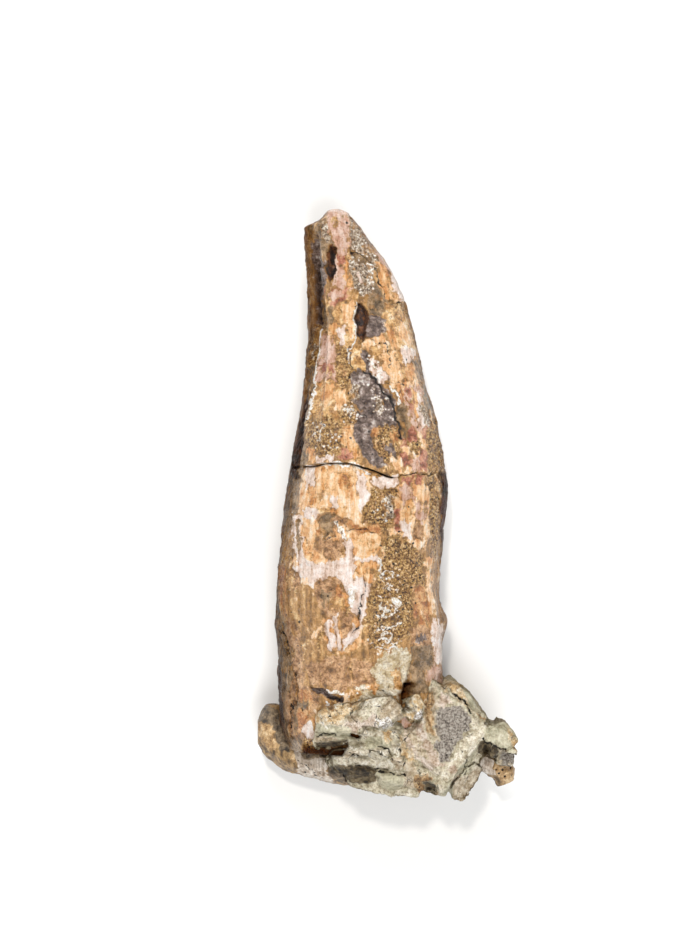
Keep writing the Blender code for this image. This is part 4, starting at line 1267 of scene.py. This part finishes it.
def rotation(turn):
    """Matrix of turns about X, then Y, then Z, in degrees."""
    x, y, z = np.radians(turn)
    about_x = np.array([(1, 0, 0), (0, math.cos(x), -math.sin(x)), (0, math.sin(x), math.cos(x))])
    about_y = np.array([(math.cos(y), 0, math.sin(y)), (0, 1, 0), (-math.sin(y), 0, math.cos(y))])
    about_z = np.array([(math.cos(z), -math.sin(z), 0), (math.sin(z), math.cos(z), 0), (0, 0, 1)])
    return about_z @ about_y @ about_x


def lump_rings(centre, half, turn, seed):
    """Rings of a lump from pole to pole. The radius is a soft minimum of the distances to
    the facet planes, with rough relief."""
    finer = 96 if np.mean(half) > LARGE_LUMP else 56
    rise = np.radians(np.linspace(-89, 89, finer))[:, None]
    round_it = np.radians(np.linspace(0, 360, 2 * finer, endpoint=False))[None, :]
    directions = np.stack(
        [np.cos(rise) * np.cos(round_it), np.sin(rise) + 0 * round_it, np.cos(rise) * np.sin(round_it)],
        axis=-1,
    )
    normals, distances = lump_facets(half, seed)
    reach = np.clip(directions @ normals.T, 0, None) / distances
    radius = np.sum(reach**CORNER_SHARPNESS, axis=-1) ** (-1 / CORNER_SHARPNESS)
    turned = directions @ rotation(turn).T
    plain = np.array(centre) + turned * radius[..., None]
    rough = relief(plain, STONE_RELIEF, 40) * min(1, np.mean(half) / LARGE_LUMP)
    return plain + turned * rough[..., None]


def applied(piece, kind, **settings):
    """Mesh of a piece with one modifier applied."""
    modifier = piece.modifiers.new(kind.lower(), kind)
    for name, value in settings.items():
        setattr(modifier, name, value)
    graph = bpy.context.evaluated_depsgraph_get()
    mesh = bpy.data.meshes.new_from_object(piece.evaluated_get(graph))
    piece.modifiers.clear()
    return mesh


def plain_object(name, points, faces):
    """Object of points in mm, for the making of other pieces."""
    mesh = bpy.data.meshes.new(name)
    mesh.from_pydata((points * MM).tolist(), [], faces)
    helper = bpy.data.objects.new(name, mesh)
    bpy.context.scene.collection.objects.link(helper)
    return helper


def fused_stone():
    """Vertices, normals and faces of the lumps fused on cells, less the tooth's bed."""
    points, faces, first = [], [], 0
    for shape in STONE_LUMPS:
        rings = lump_rings(*shape)
        whole = np.vstack([rings.reshape(-1, 3), rings[0].mean(axis=0), rings[-1].mean(axis=0)])
        faces += [[corner + first for corner in face] for face in ringed_faces(*rings.shape[:2])]
        points.append(whole)
        first += len(whole)
    stone = plain_object("fused_lumps", np.vstack(points), faces)
    stone.data = applied(stone, "REMESH", mode="VOXEL", voxel_size=STONE_VOXEL * MM)
    straight, shrink = root_rows(60)
    around = np.linspace(0, 360, 72, endpoint=False)
    rings, outward = tooth_skin(straight, shrink, around)[:2]
    inner = rings - 0.12 * outward
    whole = np.vstack([inner.reshape(-1, 3), inner[0].mean(axis=0), inner[-1].mean(axis=0)])
    bed = plain_object("tooth_bed", whole, ringed_faces(*inner.shape[:2]))
    stone.data = applied(stone, "BOOLEAN", operation="DIFFERENCE", solver="EXACT", object=bed)
    mesh = stone.data
    found = np.empty(len(mesh.vertices) * 3)
    mesh.vertices.foreach_get("co", found)
    normals = np.empty(len(mesh.vertices) * 3)
    mesh.vertex_normals.foreach_get("vector", normals)
    faces = [list(face.vertices) for face in mesh.polygons]
    bpy.data.objects.remove(stone)
    bpy.data.objects.remove(bed)
    return found.reshape(-1, 3) / MM, normals.reshape(-1, 3), faces


def made_stone(sizes):
    """The fused stone with its bedding, grain, cracks and tints."""
    points, normals, faces = fused_stone()
    places = wandered(points, 35)
    shown = smooth_step(normals[:, 2], -0.35, 0.0)
    amounts = {name: np.zeros(len(points)) for name in STONE_TINTS}
    for name, size, level, seed in (
        ("tan", 3.0, 0.2, 97),
        ("rust", 2.6, 0.42, 98),
        ("pale", 2.4, 0.3, 99),
    ):
        field = gradient_noise(points / size, seed)
        field = field + 0.4 * gradient_noise(points / (size * 0.3), seed + 9)
        cover(amounts, name, smooth_step(field, level, level + 0.15) * (1 - 0.7 * shown))
    for name, corners in STONE_PATCHES:
        cover(amounts, name, patch_share(places, corners, shown, softer=1.8))
    smooth = np.clip(amounts["moss"] + 0.6 * amounts["speckle"], 0, 1)
    depth, dark = lines_near(places, STONE_CRACKS)
    seen = seen_places(points)
    points = points.copy()
    points[:, 2] = flattened(points, seen, shown) + swelled(seen, STONE_SWELLS) * shown
    tilt = points @ rotation((0, 12, -36)).T
    beds = gradient_noise(tilt / (6.0, 6.0, 0.8), 74)
    grain = gradient_noise(points / 0.6, 75) + 0.7 * gradient_noise(points / 0.32, 76)
    flats = nearest_spot(points / 1.1, 77)[2] + 2.2 * nearest_spot(points / 2.9, 78)[2]
    coarse = grain * (0.8 - 0.65 * smooth) + flats * (1 - 0.8 * smooth) + 0.8 * beds
    rise = sizes.stone_grain / MM * coarse
    rise = rise - depth * shown
    moved = points + normals * rise[:, None]
    moved[:, 2] = np.maximum(moved[:, 2], 0)
    channels = {
        f"tints_{i // 3}": np.stack([amounts[name] for name in STONE_TINTS[i : i + 3]], axis=-1)
        for i in range(0, len(STONE_TINTS), 3)
    }
    # Painted shade: the steep sides are darkened.
    side = 0.8 * (1 - smooth_step(normals[:, 2], -0.1, 0.5))
    channels["surface"] = np.stack([dark * shown, 1 - 0.6 * smooth, side], axis=-1)
    crumbed_and_glinting = area_share(places, STONE_CRUMBED_AND_GLINTING, 1.5) * shown
    channels["flecks"] = np.stack([crumbed_and_glinting, amounts["speckle"], 1 - smooth], axis=-1)
    return moved, faces, channels


def add_node(tree, kind, inputs, stops=(), **settings):
    """Adds a node with its settings, its ramp stops (place, hex or RGBA) and its inputs,
    each a value or the socket it is linked to. Returns its outputs."""
    node = tree.nodes.new(kind)
    for name, value in settings.items():
        setattr(node, name, value)
    for i, (place, shade) in enumerate(stops):
        elements = node.color_ramp.elements
        element = elements[i] if i < 2 else elements.new(place)
        element.position = place
        element.color = linear(shade) if isinstance(shade, str) else shade
    for key, value in inputs.items():
        socket = node.inputs[key]
        if isinstance(value, bpy.types.NodeSocket):
            tree.links.new(value, socket)
        else:
            socket.default_value = value
    return node.outputs


def patterns(tree):
    """Noise patterns of a fossil surface by name, on object coordinates: mottles of 1.2 mm
    and blotches of 3 mm with much finer detail in them, streaks of 0.6 mm drawn out along
    Y, and grit of 0.35 mm. satin and sand are mixes of these, grain is the distance in
    cells of 0.3 mm, edge the distance to bent cell edges of 1.6 mm, and spot the distance
    to spots 1.2 mm apart."""
    place = add_node(tree, "ShaderNodeTexCoord", {})["Object"]
    drawn = add_node(tree, "ShaderNodeMapping", {"Vector": place, "Scale": (1, 0.14, 1)})["Vector"]
    found = {}
    for name, vector, scale, detail, roughness in (
        ("blotch", place, 330, 7, 0.66),
        ("mottle", place, 850, 6, 0.70),
        ("streak", drawn, 1500, 5, 0.66),
        ("grit", place, 2800, 4, 0.78),
    ):
        noise = add_node(
            tree,
            "ShaderNodeTexNoise",
            {"Vector": vector, "Scale": scale, "Detail": detail, "Roughness": roughness},
        )[0]
        found[name] = add_node(
            tree, "ShaderNodeMath", {0: noise, 1: 1.35, 2: -0.175}, operation="MULTIPLY_ADD"
        )[0]
    found["satin"] = add_node(tree, "ShaderNodeMix", {0: 0.42, 2: found["streak"], 3: found["mottle"]})[0]
    found["sand"] = add_node(tree, "ShaderNodeMix", {0: 0.68, 2: found["mottle"], 3: found["grit"]})[0]
    found["grain"] = add_node(tree, "ShaderNodeTexVoronoi", {"Vector": place, "Scale": 3200})["Distance"]
    bent = add_node(tree, "ShaderNodeTexNoise", {"Vector": place, "Scale": 1300, "Detail": 2})["Color"]
    bent = add_node(
        tree,
        "ShaderNodeVectorMath",
        {0: bent, 1: (9e-4, 9e-4, 9e-4), 2: place},
        operation="MULTIPLY_ADD",
    )[0]
    found["edge"] = add_node(
        tree, "ShaderNodeTexVoronoi", {"Vector": bent, "Scale": 620}, feature="DISTANCE_TO_EDGE"
    )["Distance"]
    found["spot"] = add_node(tree, "ShaderNodeTexVoronoi", {"Vector": bent, "Scale": 800})["Distance"]
    return found


def over(tree, below, above, amount, ragged, low, high):
    """Colour of one layer over another: the layer fades in where its painted amount, made
    ragged by noise, goes from low to high."""
    raised = add_node(tree, "ShaderNodeMath", {0: amount, 1: ragged}, operation="ADD")[0]
    share = add_node(
        tree,
        "ShaderNodeMapRange",
        {"Value": raised, "From Min": low, "From Max": high},
        interpolation_type="SMOOTHSTEP",
    )[0]
    return add_node(tree, "ShaderNodeMix", {0: share, 6: below, 7: above}, data_type="RGBA")[2]


def mineral_material(name, base, layers, look):
    """Material of layers: a base ramp, and for each painted channel a ramp laid over it.
    base and each layer are (pattern, stops). look has the colours of cracks, of painted shade and of
    white flecks, which are crumbs and painted glints, the wear, the roughness of smooth and rough
    places, the coat's weight and roughness, the IOR, and the bump's heights in mm."""
    material = bpy.data.materials.new(name)
    material.use_nodes = True
    tree = material.node_tree
    shader = tree.nodes["Principled BSDF"]
    pattern = patterns(tree)
    ragged = add_node(tree, "ShaderNodeMix", {0: 0.3, 2: pattern["mottle"], 3: pattern["grit"]})[0]
    ragged = add_node(tree, "ShaderNodeMath", {0: ragged, 1: 1.7, 2: -0.85}, operation="MULTIPLY_ADD")[0]
    tint = add_node(tree, "ShaderNodeValToRGB", {0: pattern[base[0]]}, stops=base[1])[0]
    for attribute, channels in layers.items():
        paint = add_node(tree, "ShaderNodeAttribute", {}, attribute_name=attribute)["Color"]
        parts = add_node(tree, "ShaderNodeSeparateColor", {0: paint})
        for part, (driver, stops) in zip(parts, channels):
            layer = add_node(tree, "ShaderNodeValToRGB", {0: pattern[driver]}, stops=stops)[0]
            tint = over(tree, tint, layer, part, ragged, 0.30, 0.72)

    # Fine dirt and wear of every mineral, then painted shade on the flanks and in shaded areas, where
    # little light reaches.
    wear = add_node(
        tree,
        "ShaderNodeValToRGB",
        {0: pattern["grit"]},
        stops=((0.30, "#4E3218"), (0.40, "#A5845E"), (0.50, "#F4EADC"), (0.56, "#FFFFFF")),
    )[0]
    surface = add_node(tree, "ShaderNodeAttribute", {}, attribute_name="surface")["Color"]
    dark, rough, shade = add_node(tree, "ShaderNodeSeparateColor", {0: surface})
    worn = add_node(
        tree,
        "ShaderNodeMath",
        {0: rough, 1: 0.80 * look["wear"], 2: 0.20},
        operation="MULTIPLY_ADD",
    )[0]
    tint = add_node(
        tree,
        "ShaderNodeMix",
        {0: worn, 6: tint, 7: wear},
        data_type="RGBA",
        blend_type="MULTIPLY",
    )[2]
    tint = add_node(
        tree,
        "ShaderNodeMix",
        {0: shade, 6: tint, 7: linear(look["painted_shade"])},
        data_type="RGBA",
        blend_type="MULTIPLY",
    )[2]
    flecks = add_node(tree, "ShaderNodeAttribute", {}, attribute_name="flecks")["Color"]
    crumbed_and_glinting, specked, cracked = add_node(tree, "ShaderNodeSeparateColor", {0: flecks})
    line = add_node(
        tree,
        "ShaderNodeMapRange",
        {"Value": pattern["edge"], "From Min": 0.0, "From Max": 0.05, "To Min": 1.0, "To Max": 0.0},
    )[0]
    some = add_node(
        tree,
        "ShaderNodeMapRange",
        {"Value": pattern["blotch"], "From Min": 0.47, "From Max": 0.60, "To Max": 0.8},
    )[0]
    line = add_node(tree, "ShaderNodeMath", {0: line, 1: some}, operation="MULTIPLY")[0]
    line = add_node(tree, "ShaderNodeMath", {0: line, 1: cracked}, operation="MULTIPLY")[0]
    speck = add_node(
        tree,
        "ShaderNodeMapRange",
        {"Value": pattern["spot"], "From Min": 0.08, "From Max": 0.16, "To Min": 1.0, "To Max": 0.0},
    )[0]
    speck = add_node(tree, "ShaderNodeMath", {0: speck, 1: specked}, operation="MULTIPLY")[0]
    line = add_node(tree, "ShaderNodeMath", {0: line, 1: speck}, operation="MAXIMUM")[0]
    dark = add_node(tree, "ShaderNodeMath", {0: dark, 1: line}, operation="MAXIMUM")[0]
    # White crumbs and painted glints, laid over where the flecks channel has them.
    white = add_node(tree, "ShaderNodeMath", {0: crumbed_and_glinting, 1: 0.5}, operation="MULTIPLY")[0]
    tint = over(tree, tint, linear(look["fleck"]), white, ragged, 0.62, 0.72)
    tint = over(tree, tint, linear(look["crack"]), dark, ragged, 0.40, 0.62)
    tree.links.new(tint, shader.inputs["Base Color"])

    matt = add_node(
        tree, "ShaderNodeMapRange", {"Value": rough, "To Min": look["smooth"], "To Max": look["rough"]}
    )[0]
    matt = add_node(
        tree,
        "ShaderNodeMath",
        {0: pattern["grit"], 1: 0.3, 2: matt},
        operation="MULTIPLY_ADD",
    )[0]
    tree.links.new(matt, shader.inputs["Roughness"])
    share = add_node(tree, "ShaderNodeMath", {0: rough, 1: 0.8, 2: 0.2}, operation="MULTIPLY_ADD")[0]
    grain = add_node(tree, "ShaderNodeMath", {0: pattern["grain"], 1: share}, operation="MULTIPLY")[0]
    bump = add_node(
        tree,
        "ShaderNodeBump",
        {"Height": grain, "Strength": 1.0, "Distance": look["grain_mm"] * MM},
        invert=True,
    )[0]
    sunk = add_node(tree, "ShaderNodeMath", {0: dark, 1: -0.5}, operation="MULTIPLY")[0]
    bump = add_node(
        tree,
        "ShaderNodeBump",
        {"Height": sunk, "Strength": 1.0, "Distance": look["crack_mm"] * MM, "Normal": bump},
    )[0]
    for name, height in (("grit", look["grit_mm"]), ("streak", look["streak_mm"]),
        ("mottle", look["mottle_mm"])):
        bump = add_node(
            tree,
            "ShaderNodeBump",
            {"Height": pattern[name], "Strength": 1.0, "Distance": height * MM, "Normal": bump},
        )[0]
    tree.links.new(bump, shader.inputs["Normal"])
    tree.links.new(bump, shader.inputs["Coat Normal"])
    shader.inputs["IOR"].default_value = look["ior"]
    varnish = add_node(
        tree,
        "ShaderNodeMapRange",
        {"Value": shade, "To Min": look["coat"], "To Max": 0.0, "From Max": 0.5},
    )[0]
    tree.links.new(varnish, shader.inputs["Coat Weight"])
    gloss = add_node(
        tree,
        "ShaderNodeMapRange",
        {"Value": shade, "From Max": 0.45, "To Min": 0.5, "To Max": 0.08},
    )[0]
    tree.links.new(gloss, shader.inputs["Specular IOR Level"])
    shader.inputs["Coat Roughness"].default_value = look["coat_roughness"]
    return material


def tooth_material(colours):
    """Fossil tooth: apatite enamel and dentine, stained by iron, under a conservator's
    thin clear varnish. The eye gets cream enamel in long streaks, yellow and red stains,
    a sandy brown crust that glints, and dark dentine where flakes are gone."""
    layers = {
        "minerals_0": (
            ("satin", ((0.33, "#C07A34"), (0.42, "#E0A468"), (0.5, tuple(colours.enamel)),
                (0.58, "#FADCB8"), (0.67, "#FFF6E8"))),
            ("satin", ((0.34, "#B07A58"), (0.43, "#C9987C"), (0.51, "#D8B09A"), (0.62, "#E8CCBC"))),
            ("satin", ((0.35, "#B89278"), (0.43, "#DEC2AE"), (0.51, "#F0DCD0"), (0.62, "#FEF8F4"))),
        ),
        "minerals_1": (
            ("mottle", ((0.31, "#80521E"), (0.41, "#BA8440"), (0.5, tuple(colours.ochre)),
                (0.59, "#F2CC90"), (0.69, "#FFEDCC"))),
            ("sand", ((0.31, "#36220C"), (0.41, "#845C28"), (0.5, tuple(colours.crust)),
                (0.59, "#DEB674"), (0.68, "#FFF0D0"))),
            ("mottle", ((0.30, "#6A4826"), (0.41, "#9C7246"), (0.5, "#BE9062"), (0.63, "#E2B88C"))),
        ),
        "minerals_2": (
            ("mottle", ((0.32, "#2C1F18"), (0.42, "#584640"), (0.5, tuple(colours.dentine)),
                (0.60, "#A08C84"), (0.70, "#E0D8D2"))),
            ("mottle", ((0.34, "#5E3022"), (0.43, "#904A34"), (0.51, "#B46C4E"), (0.63, "#DAA080"))),
            ("sand", ((0.32, "#4C3C2E"), (0.41, "#806C56"), (0.5, "#AA957C"), (0.58, "#D8C8B2"),
                (0.66, "#FFFFFC"))),
        ),
        "minerals_3": (
            ("mottle", ((0.34, "#B09A70"), (0.44, "#CCB890"), (0.52, "#DDCFB2"), (0.63, "#ECE6D4"))),
            ("sand", ((0.38, "#DCC8A8"), (0.47, "#F2E8D8"), (0.55, "#FFFFFF"))),
            # near-black painted shade in the cavities
            ("mottle", ((0.40, "#140A06"), (0.5, "#3C1C0E"), (0.6, "#86501E"))),
        ),
        "minerals_4": (
            ("satin", ((0.34, "#AC6624"), (0.43, "#D08A40"), (0.51, "#E6AE70"), (0.62, "#F6D4A6"))),
            ("mottle", ((0.31, "#4A371A"), (0.42, "#725836"), (0.51, "#90724C"), (0.63, "#B89870"))),
            ("mottle", ((0.34, "#7E421A"), (0.43, "#AC662A"), (0.51, "#C8884A"), (0.62, "#E4B47A"))),
        ),
    }
    stops = (
        (0.32, "#664620"),
        (0.42, "#926A34"),
        (0.5, tuple(colours.root)),
        (0.58, "#CC9C5E"),
        (0.68, "#E8C690"),
    )
    base = ("satin", stops)
    look = {
        # The crack colour, the colour of the painted shade, and the white of crumbs and painted glints
        # come first.
        "crack": "#1C120B", "painted_shade": "#66461E", "fleck": "#FBF6EE", "wear": 1.0,
        "smooth": 0.14, "rough": 0.30,
        "coat": 0.9, "coat_roughness": 0.06, "ior": 1.5, "grain_mm": 0.22,
        "grit_mm": 0.22, "streak_mm": 0.08,
        "mottle_mm": 0.30, "crack_mm": 0.10,
    }
    return mineral_material("iron_stained_apatite", base, layers, look)


def stone_material(colours):
    """Mudstone: clay and silt pressed hard, broken by hand. It is grey-green and matt, with
    a fine grain, tan and rusty stains, and black manganese specks on one face."""
    layers = {
        "tints_0": (
            ("mottle", ((0.30, "#B4AB90"), (0.42, "#D6CEB6"), (0.51, "#EAE4D0"), (0.63, "#F8F4E6"))),
            ("mottle", ((0.30, "#9C8A6C"), (0.42, "#C2B194"), (0.51, "#D8CAB2"), (0.63, "#ECE2CE"))),
            ("mottle", ((0.32, "#5E4424"), (0.43, "#94724A"), (0.52, "#BC9A6C"), (0.63, "#DEC6A0"))),
        ),
        "tints_1": (
            ("grit", ((0.28, "#3E3A38"), (0.37, "#706962"), (0.47, "#958D84"), (0.64, "#BCB4A8"))),
            ("mottle", ((0.35, "#221A0E"), (0.48, "#50432C"), (0.61, "#84765A"))),
            ("mottle", ((0.33, "#AA947C"), (0.46, "#CEBAA6"), (0.6, "#EADED2"))),
        ),
        "tints_2": (
            ("grit", ((0.38, "#A89C90"), (0.47, "#DDD5CC"), (0.56, "#FFFFFF"))),
            ("mottle", ((0.30, "#A09C82"), (0.44, "#C2BDA2"), (0.53, "#D2CDB2"), (0.65, "#E2DDC6"))),
            ("mottle", ((0.32, "#BC9868"), (0.43, "#E0C08E"), (0.52, "#F0DAB2"), (0.63, "#FCF2DC"))),
        ),
    }
    stops = (
        (0.28, "#8A8268"),
        (0.40, "#BDB499"),
        (0.5, tuple(colours.stone)),
        (0.60, "#E8E2CE"),
        (0.70, "#F2EEDE"),
    )
    base = ("mottle", stops)
    look = {
        # The crack colour, the colour of the painted shade, and the white of crumbs and painted glints
        # come first.
        "crack": "#1F180E", "painted_shade": "#7A6C50", "fleck": "#F4F0E4", "wear": 0.45,
        "smooth": 0.35, "rough": 0.50,
        "coat": 0.15, "coat_roughness": 0.15, "ior": 1.5, "grain_mm": 0.10,
        "grit_mm": 0.16, "streak_mm": 0.0,
        "mottle_mm": 0.40, "crack_mm": 0.12,
    }
    return mineral_material("broken_mudstone", base, layers, look)


def bone_material(colours):
    """Fossil bone: brown and fibrous outside, pinkish cream and cracked where it is
    broken, and an open ochre sponge at its core."""
    layers = {
        "tints_0": (
            ("streak", ((0.28, "#988470"), (0.42, "#BEAC98"), (0.53, "#D8CABA"), (0.65, "#F4ECE2"))),
            ("mottle", ((0.33, "#80603A"), (0.45, "#B4905E"), (0.53, "#CEAA7A"), (0.64, "#E8CEA2"))),
            ("mottle", ((0.34, "#33281A"), (0.48, "#695842"), (0.60, "#978468"))),
        ),
    }
    stops = (
        (0.30, "#4A3820"),
        (0.43, "#7C603A"),
        (0.52, tuple(colours.bone)),
        (0.65, "#C0A070"),
    )
    base = ("streak", stops)
    look = {
        # The crack colour, the colour of the painted shade, and the white of crumbs and painted glints
        # come first.
        "crack": "#1F150D", "painted_shade": "#8A7458", "fleck": "#F2E8DC", "wear": 0.5,
        "smooth": 0.25, "rough": 0.42,
        "coat": 0.3, "coat_roughness": 0.15, "ior": 1.55, "grain_mm": 0.08,
        "grit_mm": 0.12, "streak_mm": 0.12,
        "mottle_mm": 0.25, "crack_mm": 0.10,
    }
    return mineral_material("fossil_bone", base, layers, look)


def floor_material(colours):
    """Matt painted board: near white, with no pattern that the eye would see."""
    material = bpy.data.materials.new("pale_board")
    material.use_nodes = True
    shader = material.node_tree.nodes["Principled BSDF"]
    shader.inputs["Base Color"].default_value = colours.floor
    shader.inputs["Roughness"].default_value = 0.9
    return material


def soft_light(name, place, size, watts, tint):
    """Square area light in metres and watts, aimed at the middle of the fossil."""
    light = bpy.data.lights.new(name, "AREA")
    light.size = size
    light.energy = watts
    light.color = linear(tint)[:3]
    lamp = bpy.data.objects.new(name, light)
    bpy.context.scene.collection.objects.link(lamp)
    across = math.hypot(place[0], place[1])
    lamp.location = place
    lamp.rotation_euler = (math.atan2(across, place[2]), 0, math.atan2(place[0], -place[1]))
    return lamp


class FOSSIL_OT_add_tooth(bpy.types.Operator):
    """Add the crown and root with their minerals, cavities and mended break"""

    bl_idname = "fossil.add_tooth"
    bl_label = "Add tooth"

    def execute(self, context):
        material = tooth_material(context.scene.fossil_colours)
        for name, rows in (("fossil_crown", crown_rows(308)), ("fossil_root", root_rows(302))):
            rings, channels = made_tooth_part(context.scene.fossil_sizes, *rows)
            points, channels = with_ends(rings, channels)
            piece_of(name, points, ringed_faces(*rings.shape[:2]), channels, material, "tooth")
        return {"FINISHED"}


class FOSSIL_OT_add_stone(bpy.types.Operator):
    """Add the mudstone round the root"""

    bl_idname = "fossil.add_stone"
    bl_label = "Add stone"

    def execute(self, context):
        points, faces, channels = made_stone(context.scene.fossil_sizes)
        material = stone_material(context.scene.fossil_colours)
        piece_of("mudstone", points, faces, channels, material, "matrix_stone")
        return {"FINISHED"}


class FOSSIL_OT_add_bones(bpy.types.Operator):
    """Add the sliver of jaw bone and the porous splinter"""

    bl_idname = "fossil.add_bones"
    bl_label = "Add bones"

    def execute(self, context):
        material = bone_material(context.scene.fossil_colours)
        for name, node, path, seed, steps, around, pores in (
            ("jaw_bone_sliver", "jaw_bone", JAW_BONE_PATH, 11, 220, 130, 0.0),
            ("porous_splinter", "bone_splinter", SPLINTER_PATH, 23, 110, 110, 1.0),
        ):
            rings, channels = made_bone(path, seed, steps, around, pores)
            points, channels = with_ends(rings, channels)
            piece = piece_of(name, points, ringed_faces(*rings.shape[:2]), channels, material, node)
            outward_faces(piece)
        return {"FINISHED"}


class FOSSIL_OT_add_stage(bpy.types.Operator):
    """Add the floor, the lights and the camera that looks straight down"""

    bl_idname = "fossil.add_stage"
    bl_label = "Add stage"

    def execute(self, context):
        scene = context.scene
        signs = ((-1, -1), (1, -1), (1, 1), (-1, 1))
        corners = [(x * FLOOR_REACH, y * FLOOR_REACH, 0.0) for x, y in signs]
        mesh = bpy.data.meshes.new("floor")
        mesh.from_pydata(corners, [], [(0, 1, 2, 3)])
        mesh.materials.append(floor_material(scene.fossil_colours))
        floor = bpy.data.objects.new("floor", mesh)
        scene.collection.objects.link(floor)

        for light in LIGHTS:
            soft_light(*light)
        world = bpy.data.worlds.new("studio")
        world.use_nodes = True
        world.node_tree.nodes["Background"].inputs["Color"].default_value = (1, 1, 1, 1)
        world.node_tree.nodes["Background"].inputs["Strength"].default_value = STUDIO_GLOW
        scene.world = world
        scene.view_settings.view_transform = "Standard"

        camera = bpy.data.cameras.new("camera")
        camera.lens = LENS
        camera.sensor_width = SENSOR
        camera.clip_start = 0.01
        viewer = bpy.data.objects.new("camera", camera)
        viewer.location = [value * MM for value in CAMERA_PLACE]
        scene.collection.objects.link(viewer)
        scene.camera = viewer
        return {"FINISHED"}


class FOSSIL_PT_panel(bpy.types.Panel):
    """Sizes, colours and makers of the fossil"""

    bl_idname = "FOSSIL_PT_panel"
    bl_label = "Fossil tooth"
    bl_space_type = "VIEW_3D"
    bl_region_type = "UI"
    bl_category = "Fossil"

    def draw(self, context):
        for group in (context.scene.fossil_sizes, context.scene.fossil_colours):
            box = self.layout.box()
            for name in group.bl_rna.properties.keys():
                if name not in ("rna_type", "name"):
                    box.prop(group, name)
        for maker in MAKERS:
            self.layout.operator(maker.bl_idname)


MAKERS = (FOSSIL_OT_add_tooth, FOSSIL_OT_add_stone, FOSSIL_OT_add_bones, FOSSIL_OT_add_stage)
CLASSES = (FossilSizes, FossilColours, *MAKERS, FOSSIL_PT_panel)


def register():
    for part in CLASSES:
        bpy.utils.register_class(part)
    bpy.types.Scene.fossil_sizes = bpy.props.PointerProperty(type=FossilSizes)
    bpy.types.Scene.fossil_colours = bpy.props.PointerProperty(type=FossilColours)


def unregister():
    del bpy.types.Scene.fossil_colours
    del bpy.types.Scene.fossil_sizes
    for part in reversed(CLASSES):
        bpy.utils.unregister_class(part)


def main():
    register()
    bpy.ops.fossil.add_tooth()
    bpy.ops.fossil.add_stone()
    bpy.ops.fossil.add_bones()
    bpy.ops.fossil.add_stage()


if __name__ == "__main__":
    main()
